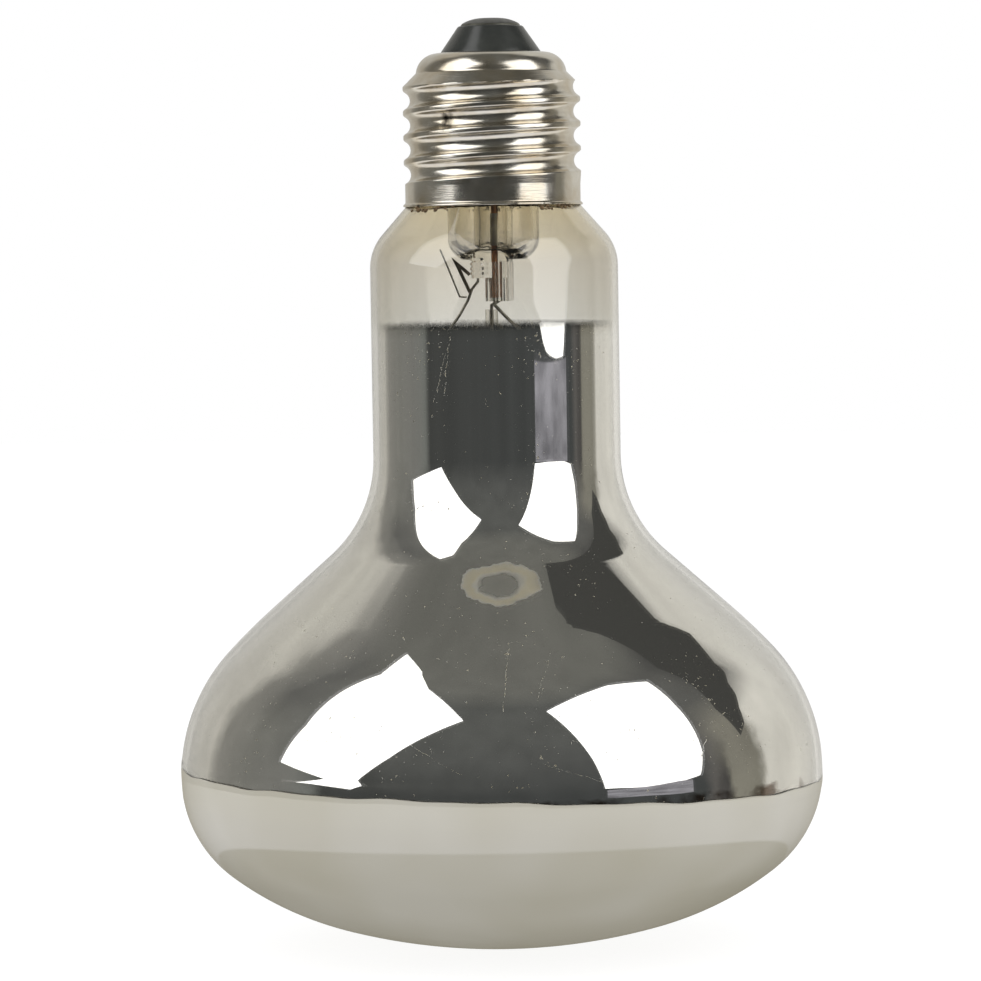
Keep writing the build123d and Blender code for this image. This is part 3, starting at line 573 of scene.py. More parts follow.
@dataclass(frozen=True)
class NickelFinish:
    """Thin sheet, rolled to the thread and bright nickel plated.

    The eye gets soft, slightly warm reflections, a straw tint in patches, one burn on the thread
    and scorched flecks along the rim.
    """

    name: str = "nickel_plated_sheet"
    bright: str = "#E8E3D8"
    warm: str = "#CFC1A8"
    burnt: str = "#241F1A"
    tint_mm: float = 5.0
    tint_span: tuple[float, float] = (0.38, 0.75)
    burn_place: tuple[float, float, float] = (-7.0, -10.9, 121.8)
    burn_span: tuple[float, float] = (1.5, 2.3)
    smoke_mm: float = 0.9
    smoke_reach: float = 1.3
    scorch_span: tuple[float, float] = (110.55, 110.95)
    scorch_share: float = 0.75
    soot_mm: float = 1.1
    soot_reach: float = 3.2
    haze_mm: float = 2.2
    haze_span: tuple[float, float] = (0.3, 0.75)
    polished: float = 0.15
    hazy: float = 0.26
    # The rolls' lines are a few hundredths of a millimetre wide, drawn about ten times as coarse.
    roll_mm: float = 3.0
    roll_stretch: float = 0.06
    roll_depth_mm: float = 0.02

    def make(self) -> Material:
        """Makes the material: mirror-like with straw tints, fine rolling lines and dull spots."""
        material, tree, shader = begin_material(self.name)
        fill(tree, shader, {"Metallic": 1.0})
        tint = add_noise(tree, self.tint_mm, 3.0)
        ramp = add_node(tree, "ValToRGB", inputs={0: tint})
        set_ramp(ramp, [(self.tint_span[0], colour(self.bright)), (self.tint_span[1], colour(self.warm))])
        place = add_node(tree, "TexCoord")
        away = add_node(
            tree,
            "VectorMath",
            {"operation": "DISTANCE"},
            {0: place.outputs["Object"], 1: Vector(self.burn_place) * MM},
        )
        smoke = add_noise(tree, self.smoke_mm, 4.0)
        reach = add_node(
            tree,
            "Math",
            {"operation": "MULTIPLY_ADD"},
            {0: smoke, 1: self.smoke_reach * MM, 2: away.outputs["Value"]},
        )
        burn = add_node(
            tree,
            "MapRange",
            inputs={
                "Value": reach,
                "From Min": self.burn_span[0] * MM,
                "From Max": self.burn_span[1] * MM,
                "To Min": 1.0,
                "To Max": 0.0,
            },
        )
        level = add_parts(tree).outputs["Z"]
        soot = add_noise(tree, self.soot_mm, 4.0)
        climb = add_node(
            tree, "Math", {"operation": "MULTIPLY_ADD"}, {0: soot, 1: self.soot_reach * MM, 2: level}
        )
        scorch = add_node(
            tree,
            "MapRange",
            inputs={
                "Value": climb,
                "From Min": self.scorch_span[0] * MM,
                "From Max": self.scorch_span[1] * MM,
                "To Min": self.scorch_share,
                "To Max": 0.0,
            },
        )
        marked = combine(tree, "MAXIMUM", burn, scorch)
        skin = add_node(tree, "Mix", {"data_type": "RGBA"}, {0: marked, 6: ramp, 7: colour(self.burnt)})
        fill(tree, shader, {"Base Color": skin.outputs[2]})
        haze = add_noise(tree, self.haze_mm, 4.0)
        rough = add_node(
            tree,
            "MapRange",
            inputs={
                "Value": haze,
                "From Min": self.haze_span[0],
                "From Max": self.haze_span[1],
                "To Min": self.polished,
                "To Max": self.hazy,
            },
        )
        fill(tree, shader, {"Roughness": rough})
        lines = add_noise(tree, self.roll_mm, 3.0, self.roll_stretch)
        add_bump(tree, shader, lines, self.roll_depth_mm, 0.6)
        return material


@dataclass(frozen=True)
class PlainFinish:
    """A solid or metal with small drifts of colour and a fine grain."""

    name: str
    base: str
    second: str
    roughness: float
    metallic: float = 0.0
    grain_mm: float = 1.5
    grain_span: tuple[float, float] = (0.35, 0.7)
    # Drawing, casting and baking leave a grain finer than a pixel, so it is drawn at two pixels.
    bump_grain_mm: float = 0.3
    bump_depth_mm: float = 0.01

    def make(self) -> Material:
        """Makes the material: two close shades in patches over a fine raised grain."""
        material, tree, shader = begin_material(self.name)
        fill(tree, shader, {"Metallic": self.metallic, "Roughness": self.roughness})
        patches = add_noise(tree, self.grain_mm, 3.0)
        ramp = add_node(tree, "ValToRGB", inputs={0: patches})
        set_ramp(ramp, [(self.grain_span[0], colour(self.base)), (self.grain_span[1], colour(self.second))])
        fill(tree, shader, {"Base Color": ramp})
        grain = add_noise(tree, self.bump_grain_mm, 2.0)
        add_bump(tree, shader, grain, self.bump_depth_mm, 0.5)
        return material


class Finishes:
    """Every finish of the lamp, each made once."""

    def __init__(self) -> None:
        """Makes the materials."""
        # Blown glass: clear at the neck, with a faintly straw painted shade where the cap shades it.
        self.envelope = GlassFinish(
            "blown_soda_lime_glass",
            ((90.0, "#FDFDFC"), (93.0, "#ECEBE7"), (101.0, "#E9E6DF"), (109.0, "#F1EAD8")),
            # The edge colour is a painted shade at the silhouette.
            edge="#F0EFEC",
        ).make()
        # Drawn lead glass: thick and bright, with long ripples that break up what is behind it.
        self.stem = GlassFinish(
            "drawn_lead_glass",
            ((90.0, "#FBFAF8"), (118.0, "#F8F6F1")),
            ior=1.56,
            ripple_mm=1.6,
            ripple_depth_mm=0.05,
            ripple_stretch=5.0,
            # The edge colour is a painted shade at the silhouette.
            edge="#F4F2EC",
        ).make()
        # Fused quartz: colourless, with a fainter edge than glass because its IOR is lower.
        self.quartz = GlassFinish(
            "fused_quartz",
            ((10.0, "#F8F8F8"), (80.0, "#F4F4F4")),
            ior=1.46,
            ripple_mm=6.0,
            ripple_depth_mm=0.01,
        ).make()
        self.satin = SatinFinish().make()
        self.mirror = MirrorFinish().make()
        self.nickel = NickelFinish().make()
        # Cast glass: near black and glossy, with a gently uneven skin from the mould.
        self.black_glass = PlainFinish(
            "cast_black_glass", "#2F312F", "#393B38",
            roughness=0.22, grain_mm=3.0, bump_grain_mm=1.6, bump_depth_mm=0.03,
        ).make()
        # Tinned sheet brass: a dull grey with a trace of yellow.
        self.brass = PlainFinish("tinned_brass", "#77766C", "#5F5E55", roughness=0.4, metallic=0.8).make()
        # Tin solder, set from the melt: dull grey with soft dimples.
        self.solder = PlainFinish(
            "tin_solder", "#6E6E6B", "#565653",
            roughness=0.42, metallic=0.6, grain_mm=1.2, bump_grain_mm=0.5, bump_depth_mm=0.04,
        ).make()
        # Baked cement: matt brown and crumbly.
        self.cement = PlainFinish(
            "baked_cement", "#7A6448", "#4E3D2A",
            roughness=0.9, grain_mm=0.8, bump_grain_mm=0.4, bump_depth_mm=0.08,
        ).make()
        # Drawn copper and nickel wire: a soft, broad sheen with no sharp reflection.
        self.copper = PlainFinish("drawn_copper", "#E0A67C", "#C08A64", roughness=0.5, metallic=0.95).make()
        self.nickel_wire = PlainFinish(
            "drawn_nickel", "#D8D5CC", "#B9B5AA", roughness=0.5, metallic=0.95
        ).make()
        # Sintered getter: darker than the wires, porous and almost without gloss.
        self.getter = PlainFinish(
            "sintered_getter", "#A39B8E", "#7E776B", roughness=0.6, metallic=0.9
        ).make()
        # Rolled molybdenum and drawn tungsten: cool greys, the second one darker.
        self.molybdenum = PlainFinish(
            "molybdenum", "#8A8A8C", "#6E6E71", roughness=0.35, metallic=1.0
        ).make()
        self.tungsten = PlainFinish("tungsten", "#5A5A5D", "#414144", roughness=0.4, metallic=1.0).make()
        # Fired ceramic: matt, off-white and plain.
        self.ceramic = PlainFinish("fired_ceramic", "#D8D2C4", "#C7C0AF", roughness=0.8).make()

    def by_slot(self) -> dict[str, Material]:
        """Gives the finish of each material slot in the record."""
        return {
            "envelope_glass": self.envelope,
            "reflector_film": self.mirror,
            "nickel_plate": self.nickel,
            "black_glass": self.black_glass,
            "brass": self.brass,
            "solder": self.solder,
            "basing_cement": self.cement,
            "stem_glass": self.stem,
            "copper": self.copper,
            "nickel_wire": self.nickel_wire,
            "getter_metal": self.getter,
            "quartz": self.quartz,
            "molybdenum": self.molybdenum,
            "tungsten": self.tungsten,
            "resistor_ceramic": self.ceramic,
        }


@dataclass
class ProfilePen:
    """Draws a half section in the XZ plane, in millimetres, with a heading as it goes."""

    mesh: Mesh
    radius: float
    height: float
    heading: float = 0.0
    tip: bmesh.types.BMVert = field(init=False)

    def __post_init__(self) -> None:
        """Sets the first point."""
        self.tip = self.mesh.verts.new((self.radius * MM, 0.0, self.height * MM))

    def _advance(self) -> None:
        """Reads the pen's place back from its last point."""
        self.radius = self.tip.co.x / MM
        self.height = self.tip.co.z / MM

    def line(self, length: float, steps: int = 1) -> None:
        """Draws a straight line along the heading.

        Args:
            length: How long the line is.
            steps: How many edges it has.
        """
        turn = math.radians(self.heading)
        step = Vector((math.cos(turn), 0.0, math.sin(turn))) * length * MM / steps
        for _ in range(steps):
            grown = bmesh.ops.extrude_vert_indiv(self.mesh, verts=[self.tip])
            self.tip = grown["verts"][0]
            self.tip.co += step
        self._advance()

    def line_to(self, radius: float, height: float, steps: int = 1) -> None:
        """Draws a straight line to a point and turns the heading along it.

        Args:
            radius: The point's distance from the axis.
            height: The point's height.
            steps: How many edges the line has.
        """
        across, rise = radius - self.radius, height - self.height
        self.heading = math.degrees(math.atan2(rise, across))
        self.line(math.hypot(across, rise), steps)

    def arc(self, bend: float, turn: float, step: float = 1.0) -> None:
        """Draws an arc that starts along the heading.

        Args:
            bend: The arc's radius.
            turn: Degrees it turns through, positive to the left.
            step: Degrees that one edge spans.
        """
        side = math.copysign(1.0, turn)
        start = math.radians(self.heading)
        centre = Vector(
            (
                (self.radius - side * bend * math.sin(start)) * MM,
                0.0,
                (self.height + side * bend * math.cos(start)) * MM,
            )
        )
        grown = bmesh.ops.spin(
            self.mesh,
            geom=[self.tip],
            cent=centre,
            axis=(0.0, -1.0, 0.0),
            angle=math.radians(turn),
            steps=max(2, math.ceil(abs(turn) / step)),
            use_merge=False,
            use_duplicate=False,
        )
        self.tip = [e for e in grown["geom_last"] if isinstance(e, bmesh.types.BMVert)][0]
        self.heading += turn
        self._advance()


def turn_profile(mesh: Mesh, fineness: Fineness) -> None:
    """Spins the profile in a mesh into a closed surface of revolution.

    Args:
        mesh: The mesh that holds the profile.
        fineness: How many steps the turn has.
    """
    bmesh.ops.spin(
        mesh,
        geom=mesh.verts[:] + mesh.edges[:],
        cent=(0.0, 0.0, 0.0),
        axis=(0.0, 0.0, 1.0),
        angle=2 * math.pi,
        steps=fineness.value,
        use_merge=True,
        use_duplicate=False,
    )
    bmesh.ops.remove_doubles(mesh, verts=mesh.verts[:], dist=0.0005 * MM)
    bmesh.ops.recalc_face_normals(mesh, faces=mesh.faces[:])


def finish_piece(
    mesh: Mesh,
    name: str,
    material: Material,
    replaced: tuple[str, ...] = (),
    sharp_angle: float = 40.0,
) -> bpy.types.Object:
    """Makes an object of a mesh, dresses it and lets it ride on the lamp.

    Args:
        mesh: The finished mesh, which is freed.
        name: The piece's name.
        material: Its finish.
        replaced: The solids that the piece stands for.
        sharp_angle: Edges that turn by more degrees than this stay sharp.

    Returns:
        The new object.
    """
    data = bpy.data.meshes.new(name)
    mesh.to_mesh(data)
    mesh.free()
    data.materials.append(material)
    data.shade_smooth()
    data.set_sharp_from_angle(angle=math.radians(sharp_angle))
    piece = bpy.data.objects.new(name, data)
    bpy.context.scene.collection.objects.link(piece)
    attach(piece, BODY)
    if replaced:
        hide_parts(*replaced)
    LOG.info("%s: %d faces", name, len(data.polygons))
    return piece


@dataclass
class BlownBulb:
    """The glass envelope with its satin face, and the mirror inside it, in millimetres."""

    bulb_radius: float = 47.5
    neck_radius: float = 18.3
    glass_wall: float = 0.9
    face_radius: float = 46.3
    corner_radius: float = 17.9
    flank_radius: float = 26.8
    ease_radius: float = 87.5
    throat_radius: float = 19.3
    face_turn: float = 73.3
    corner_turn: float = 52.3
    flank_turn: float = 43.0
    bowl_slope: float = 48.5
    shoulder_radius: float = 7.5
    shoulder_slope: float = 41.3
    collar_radius: float = 11.3
    collar_fillet: float = 1.5
    rim_height: float = 109.4
    rim_glass_radius: float = 12.9
    collar_top: float = 117.4
    film_low: float = 25.8
    film_high: float = 92.4
    skin_gap: float = 0.03
    low_swing: float = 1.4
    high_swing: float = 0.2
    wave_reach: float = 3.0
    cut_gap: float = 0.0001

    def draw(self, pen_mesh: Mesh, inset: float) -> ProfilePen:
        """Draws the glass's section, inset from its outer skin, from the crown to the collar.

        Args:
            pen_mesh: The mesh to draw in.
            inset: How far inside the outer skin the line runs.

        Returns:
            The pen at the collar's top.
        """
        cos, sin, rad = math.cos, math.sin, math.radians
        crown_reach = (
            self.bulb_radius
            - self.corner_radius * (1 - cos(rad(self.corner_turn)))
            - self.face_radius * (cos(rad(self.corner_turn)) - cos(rad(self.face_turn)))
        )
        crown_radius = crown_reach / cos(rad(self.face_turn))
        drop = (
            self.bulb_radius
            - self.flank_radius * (1 - cos(rad(self.flank_turn)))
            - self.ease_radius * (cos(rad(self.flank_turn)) - cos(rad(self.bowl_slope)))
            - self.throat_radius * (1 - cos(rad(self.bowl_slope)))
            - self.neck_radius
        )
        shoulder_end = self.neck_radius - self.shoulder_radius * (1 - cos(rad(self.shoulder_slope)))
        cone_to_rim = (shoulder_end - self.rim_glass_radius) / math.tan(rad(self.shoulder_slope))
        neck_high = (self.rim_height - cone_to_rim - self.shoulder_radius * sin(rad(self.shoulder_slope)))
        foot_radius = self.collar_radius + self.collar_fillet * (1 - cos(rad(self.shoulder_slope)))
        pen = ProfilePen(pen_mesh, 0.0, inset)
        pen.arc(crown_radius - inset, 90 - self.face_turn)
        pen.arc(self.face_radius - inset, self.face_turn - self.corner_turn)
        pen.arc(self.corner_radius - inset, self.corner_turn)
        pen.arc(self.flank_radius - inset, self.flank_turn)
        pen.arc(self.ease_radius - inset, self.bowl_slope - self.flank_turn, step=0.5)
        pen.line(drop / sin(rad(self.bowl_slope)), steps=14)
        pen.arc(self.throat_radius + inset, -self.bowl_slope)
        pen.line(neck_high - pen.height, steps=26)
        pen.arc(self.shoulder_radius - inset, self.shoulder_slope)
        pen.line((shoulder_end - foot_radius) / sin(rad(self.shoulder_slope)), steps=6)
        pen.arc(self.collar_fillet + inset, -self.shoulder_slope, step=6.0)
        pen.line(self.collar_top - pen.height, steps=3)
        return pen

    def build_glass(self, finishes: Finishes) -> None:
        """Makes the blown envelope: an outer and an inner wall joined at the collar."""
        mesh = bmesh.new()
        outer = self.draw(mesh, 0.0)
        inner = self.draw(mesh, self.glass_wall)
        mesh.edges.new((outer.tip, inner.tip))
        turn_profile(mesh, Fineness.BULB)
        self.cut_level(mesh, self.film_low)
        for face in mesh.faces:
            if face.calc_center_median().z < self.film_low * MM:
                face.material_index = 1
        self.wave_edge(mesh, self.film_low, self.low_swing)
        glass = finish_piece(
            mesh, "blown_envelope", finishes.envelope, ("glass_envelope",)
        )
        glass.data.materials.append(finishes.satin)

    def wave_edge(self, mesh: Mesh, level: float, swing: float) -> None:
        """Lets the ring of points at a level wander up and down, and its neighbours with it.

        Args:
            mesh: The mesh that holds the ring.
            level: The ring's level in millimetres.
            swing: The largest wander in millimetres.
        """
        for vert in mesh.verts:
            away = abs(vert.co.z / MM - level)
            if away >= self.wave_reach:
                continue
            angle = math.atan2(vert.co.x, -vert.co.y)
            # The edge leans down to the right, in one slow wave, with a fine raggedness on it.
            slow = 0.22 - math.sin(angle) + 0.15 * math.sin(3 * angle + 2.0)
            quick = 0.07 * math.sin(17 * angle + 1.0) + 0.05 * math.sin(31 * angle)
            vert.co.z += swing * (slow + quick) * (1 - away / self.wave_reach) * MM

    def cut_level(self, mesh: Mesh, level: float, **cleared: bool) -> None:
        """Cuts a ring of edges into a mesh at a level, and may clear one side of it.

        Args:
            mesh: The mesh to cut.
            level: The level in millimetres.
            cleared: Which side goes, as clear_inner or clear_outer.
        """
        bmesh.ops.bisect_plane(
            mesh,
            geom=mesh.verts[:] + mesh.edges[:] + mesh.faces[:],
            dist=self.cut_gap * MM,
            plane_co=(0.0, 0.0, level * MM),
            plane_no=(0.0, 0.0, 1.0),
            **cleared,
        )

    def build_mirror(self, finishes: Finishes) -> None:
        """Makes the mirror, a skin just inside the inner wall between the film's two edges."""
        mesh = bmesh.new()
        self.draw(mesh, self.glass_wall + self.skin_gap)
        turn_profile(mesh, Fineness.BULB)
        self.cut_level(mesh, self.film_low, clear_inner=True)
        self.cut_level(mesh, self.film_high, clear_outer=True)
        self.wave_edge(mesh, self.film_low, self.low_swing)
        self.wave_edge(mesh, self.film_high, self.high_swing)
        finish_piece(mesh, "bowl_mirror", finishes.mirror, ("reflector_film",))

    def build(self, finishes: Finishes) -> None:
        """Makes the glass with its satin face, and the mirror."""
        self.build_glass(finishes)
        self.build_mirror(finishes)


@dataclass
class ScrewCap:
    """The rolled screw shell, its black glass insulator and the soldered contact."""

    rim_height: float = 109.4
    shell_top: float = 131.9
    sheet: float = 0.3
    thinned: float = 0.8
    lip_radius: float = 13.25
    lip_height: float = 0.25
    lip_edge: float = 0.08
    pressed_above: float = 1.0
    skirt_radius: float = 12.93
    skirt_length: float = 3.1
    dome_radius: float = 3.2
    dome_lean: float = 6.0
    entry_radius: float = 11.1
    hole_radius: float = 7.3
    hole_edge: float = 0.05
    pitch: float = 3.629
    crest_radius: float = 13.13
    root_radius: float = 12.05
    crest_rounding: float = 0.6
    crest_land: float = 0.05
    thread_turns: float = 4.4
    thread_start_height: float = 4.5
    thread_start_angle: float = 160.0
    run_out_angle: float = 100.0
    run_out_rise: float = 1.3
    ring_step: float = 0.11
    insulator_height: float = 3.95
    insulator_base: float = 7.45
    insulator_top: float = 4.72
    insulator_rounding: float = 0.5
    insulator_seat: float = 0.45
    insulator_edge: float = 0.08
    insulator_foot: float = 0.35
    insulator_plug: float = 1.5
    insulator_gap: float = 0.02
    eyelet_radius: float = 1.4
    plate_radius: float = 4.4
    plate_height: float = 0.25
    plate_thickness: float = 0.6
    plate_gap: float = 0.05
    plate_edge: float = 0.1
    solder_radius: float = 4.25
    solder_lift: float = 0.005
    solder_brim: float = 0.1
    solder_edge: float = 0.12
    solder_flat: float = 1.2
    contact_height: float = 137.0
    crumb_radius: float = 12.9
    glass_flare: float = 0.878
    crumb_spans: tuple[tuple[float, float], ...] = ((-62.0, -26.0), (32.0, 58.0), (150.0, 210.0))
    crumbs_each: int = 16
    crumb_sizes: tuple[float, float] = (0.14, 0.4)
    crumb_fall: float = 0.7
    crumb_sunk: float = 0.3
    crumb_dent: float = 0.15

    def groove_radius(self, offset: float) -> float:
        """Gives the rolled groove's radius at a distance along the axis from its root.

        Args:
            offset: Millimetres above or below the root.

        Returns:
            The radius, or a large one past the groove.
        """
        depth = self.crest_radius - self.root_radius
        hollow = (self.pitch**2 / 4 + depth**2) / (2 * depth) - self.crest_rounding
        span = self.crest_rounding + hollow
        meet = self.pitch / 2 * (1 - self.crest_rounding / span)
        away = abs(offset)
        if away <= meet:
            return self.root_radius + hollow - math.sqrt(hollow**2 - away**2)
        if away <= self.pitch / 2:
            crest = self.crest_radius - self.crest_rounding
            return crest + math.sqrt(self.crest_rounding**2 - (self.pitch / 2 - away) ** 2)
        return 2 * self.crest_radius

    def thread_radius(self, angle: float, height: float) -> float:
        """Gives the threaded wall's radius, before the plain form limits it.

        Args:
            angle: Degrees about the axis.
            height: Millimetres above the face's crown.

        Returns:
            The smallest groove radius at that place.
        """
        first = self.rim_height + self.thread_start_height
        nearest = 2 * self.crest_radius
        share = ((angle - self.thread_start_angle) % 360.0) / 360.0
        for lap in range(-1, math.ceil(self.thread_turns)):
            turned = share + lap
            if turned > self.thread_turns or turned < -self.run_out_angle / 360.0:
                continue
            fade = max(0.0, -turned * 360.0 / self.run_out_angle) * self.run_out_rise
            reach = self.groove_radius(height - first - turned * self.pitch) + fade
            nearest = min(nearest, reach)
        return nearest

    def build_shell(self, finishes: Finishes) -> None:
        """Makes the shell: a spun sleeve pressed in along the thread, then given its sheet."""
        mesh = bmesh.new()
        low = self.rim_height
        land = self.crest_radius - self.crest_land
        lean = math.radians(self.dome_lean)
        dome_end = self.shell_top - self.dome_radius * (1 - math.sin(lean))
        lip_step = self.lip_radius - self.skirt_radius
        pen = ProfilePen(mesh, self.lip_radius - self.sheet, low)
        pen.line_to(self.lip_radius - self.lip_edge, low)
        pen.line_to(self.lip_radius, low + self.lip_edge)
        pen.line_to(self.lip_radius, low + self.lip_height)
        pen.line_to(self.skirt_radius, low + self.lip_height + lip_step, steps=4)
        pen.line_to(self.skirt_radius, low + self.skirt_length, steps=22)
        land_low = low + self.thread_start_height + self.pitch / 6
        pen.line_to(land, land_low, round((land_low - pen.height) / self.ring_step))
        land_high = dome_end - (land - self.entry_radius)
        pen.line_to(land, land_high, round((land_high - pen.height) / self.ring_step))
        pen.line_to(self.entry_radius, dome_end, steps=20)
        pen.heading = 90.0 + self.dome_lean
        pen.arc(self.dome_radius, 90.0 - self.dome_lean, step=4.0)
        pen.line_to(self.hole_radius - self.hole_edge, self.shell_top)
        pen.line_to(self.hole_radius, self.shell_top - self.sheet)
        turn_profile(mesh, Fineness.CAP)
        for vert in mesh.verts:
            radius = math.hypot(vert.co.x, vert.co.y) / MM
            height = vert.co.z / MM
            if height < low + self.pressed_above:
                continue
            angle = math.degrees(math.atan2(vert.co.y, vert.co.x))
            pressed = self.thread_radius(angle, height)
            if pressed < radius:
                vert.co.x *= pressed / radius
                vert.co.y *= pressed / radius
        bmesh.ops.recalc_face_normals(mesh, faces=mesh.faces[:])
        shell = finish_piece(
            mesh, "rolled_screw_shell", finishes.nickel, ("screw_shell",), sharp_angle=60.0
        )
        wall = shell.modifiers.new("sheet", "SOLIDIFY")
        wall.thickness = self.sheet * self.thinned * MM
        wall.offset = -1.0

    def build_insulator(self, finishes: Finishes) -> None:
        """Makes the black glass cone with its softly poured edges."""
        mesh = bmesh.new()
        top = self.shell_top + self.insulator_height
        seat = top - self.insulator_seat
        pen = ProfilePen(mesh, self.eyelet_radius, seat)
        pen.line_to(self.plate_radius, seat, steps=2)
        pen.line_to(self.plate_radius, top - self.insulator_edge)
        pen.line_to(self.plate_radius + self.insulator_edge, top)
        slope = math.degrees(math.atan2(-self.insulator_height, self.insulator_base - self.insulator_top))
        pen.heading = 0.0
        pen.arc(self.insulator_rounding, slope, step=3.0)
        foot = self.shell_top + self.insulator_foot
        reach = (pen.height - foot) / math.sin(math.radians(-slope))
        pen.line(reach, steps=12)
        plug_radius = self.hole_radius - self.insulator_gap
        plug_end = self.shell_top - self.insulator_plug
        pen.line_to(self.insulator_base, self.shell_top - self.insulator_gap, steps=2)
        pen.line_to(plug_radius, self.shell_top - self.insulator_gap)
        pen.line_to(plug_radius, plug_end)
        pen.line_to(self.eyelet_radius, plug_end)
        pen.line_to(self.eyelet_radius, seat)
        turn_profile(mesh, Fineness.CAP)
        finish_piece(mesh, "poured_insulator", finishes.black_glass, ("cap_insulator",))

    def build_contact(self, finishes: Finishes) -> None:
        """Makes the contact plate's rim and the solder dome that covers it."""
        plate_top = self.shell_top + self.insulator_height + self.plate_height
        plate_low = plate_top - self.plate_thickness
        plate_rim = self.plate_radius - self.plate_gap
        mesh = bmesh.new()
        pen = ProfilePen(mesh, self.eyelet_radius, plate_low)
        pen.line_to(plate_rim, plate_low)
        pen.line_to(plate_rim, plate_top - self.plate_edge)
        pen.line_to(plate_rim - self.plate_edge, plate_top)
        pen.line_to(self.eyelet_radius, plate_top, steps=3)
        pen.line_to(self.eyelet_radius, plate_low)
        turn_profile(mesh, Fineness.CAP)
        finish_piece(mesh, "contact_disc", finishes.brass, ("contact_plate",))
        mesh = bmesh.new()
        brim = self.solder_radius - self.solder_brim
        pen = ProfilePen(mesh, self.solder_radius, plate_top + self.solder_lift)
        pen.line_to(brim, plate_top + self.solder_edge)
        across = brim - self.solder_flat
        rise = self.contact_height - plate_top - self.solder_edge
        bend = (across**2 + rise**2) / (2 * rise)
        turn = 2 * math.degrees(math.atan2(rise, across))
        pen.heading = 180.0 - turn
        pen.arc(bend, turn, step=1.0)
        pen.line_to(0.0, self.contact_height)
        turn_profile(mesh, Fineness.CAP)
        finish_piece(mesh, "solder_dome", finishes.solder, ("centre_solder",))

    def build_crumbs(self, finishes: Finishes) -> None:
        """Makes the crumbs of cement that were squeezed out under the shell's lip."""
        mesh = bmesh.new()
        draw = random.Random(7)
        for span in self.crumb_spans:
            for _ in range(self.crumbs_each):
                angle = math.radians(draw.uniform(*span))
                size = draw.uniform(*self.crumb_sizes)
                fall = draw.uniform(0.0, self.crumb_fall)
                radius = self.crumb_radius + fall * self.glass_flare - size * self.crumb_sunk
                across, back = math.sin(angle) * radius, -math.cos(angle) * radius
                place = Vector((across, back, self.rim_height - fall))
                crumb = bmesh.ops.create_icosphere(
                    mesh, subdivisions=2, radius=size * MM, matrix=Matrix.Translation(place * MM)
                )
                dent = self.crumb_dent
                for vert in crumb["verts"]:
                    vert.co += Vector([draw.uniform(-dent, dent) * size * MM for _ in range(3)])
        finish_piece(mesh, "cement_crumbs", finishes.cement)

    def build(self, finishes: Finishes) -> None:
        """Makes the cap's visible pieces."""
        self.build_crumbs(finishes)
        self.build_shell(finishes)
        self.build_insulator(finishes)
        self.build_contact(finishes)


def put_on_stage(mesh: Mesh, name: str, material: Material) -> bpy.types.Object:
    """Makes an object of a mesh that belongs to the studio and not to the lamp.

    Args:
        mesh: The finished mesh, which is freed.
        name: The object's name.
        material: What it wears.

    Returns:
        The new object.
    """
    data = bpy.data.meshes.new(name)
    mesh.to_mesh(data)
    mesh.free()
    data.materials.append(material)
    thing = bpy.data.objects.new(name, data)
    bpy.context.scene.collection.objects.link(thing)
    return thing


@dataclass(frozen=True)
class Card:
    """A card of light or shade, set by the directions of its corners from a place in the lamp.

    A direction is an azimuth, from the camera's side and growing to the right, and a rise above
    the horizon, both in degrees. Each corner is as far away as the card.
    """

    name: str
    shade: str
    strength: float
    corners: tuple[tuple[float, float], ...]
    centre: tuple[float, float, float]
    distance: float = 1.2
    lights: bool = True
    drift: float = 0.0
    cloud_mm: float = 300.0
    cloud_stretch: float = 0.07

    def make(self) -> bpy.types.Object:
        """Makes the card, which the camera doesn't see."""
        mesh = bmesh.new()
        bmesh.ops.create_circle(mesh, cap_ends=True, segments=len(self.corners), radius=1.0)
        mesh.verts.ensure_lookup_table()
        for vert, (azimuth, rise) in zip(mesh.verts, self.corners):
            around, up = math.radians(azimuth), math.radians(rise)
            way = Vector((math.sin(around) * math.cos(up), -math.cos(around) * math.cos(up), math.sin(up)))
            vert.co = Vector(self.centre) * MM + way * self.distance
        bmesh.ops.triangulate(mesh, faces=mesh.faces[:])
        material, tree = begin_surface(self.name + "_light")
        glow = add_node(tree, "Emission", inputs={"Color": colour(self.shade), "Strength": self.strength})
        if self.drift:
            clouds = add_noise(tree, self.cloud_mm, 5.0, self.cloud_stretch)
            uneven = add_node(
                tree,
                "MapRange",
                inputs={
                    "Value": clouds,
                    "From Min": 0.35,
                    "From Max": 0.65,
                    "To Min": self.strength - self.drift,
                    "To Max": self.strength + self.drift / 2,
                },
            )
            fill(tree, glow, {"Strength": uneven})
        add_node(tree, "OutputMaterial", inputs={"Surface": glow})
        card = put_on_stage(mesh, self.name, material)
        card.visible_camera = False
        card.visible_diffuse = self.lights
        card.visible_shadow = False
        return card


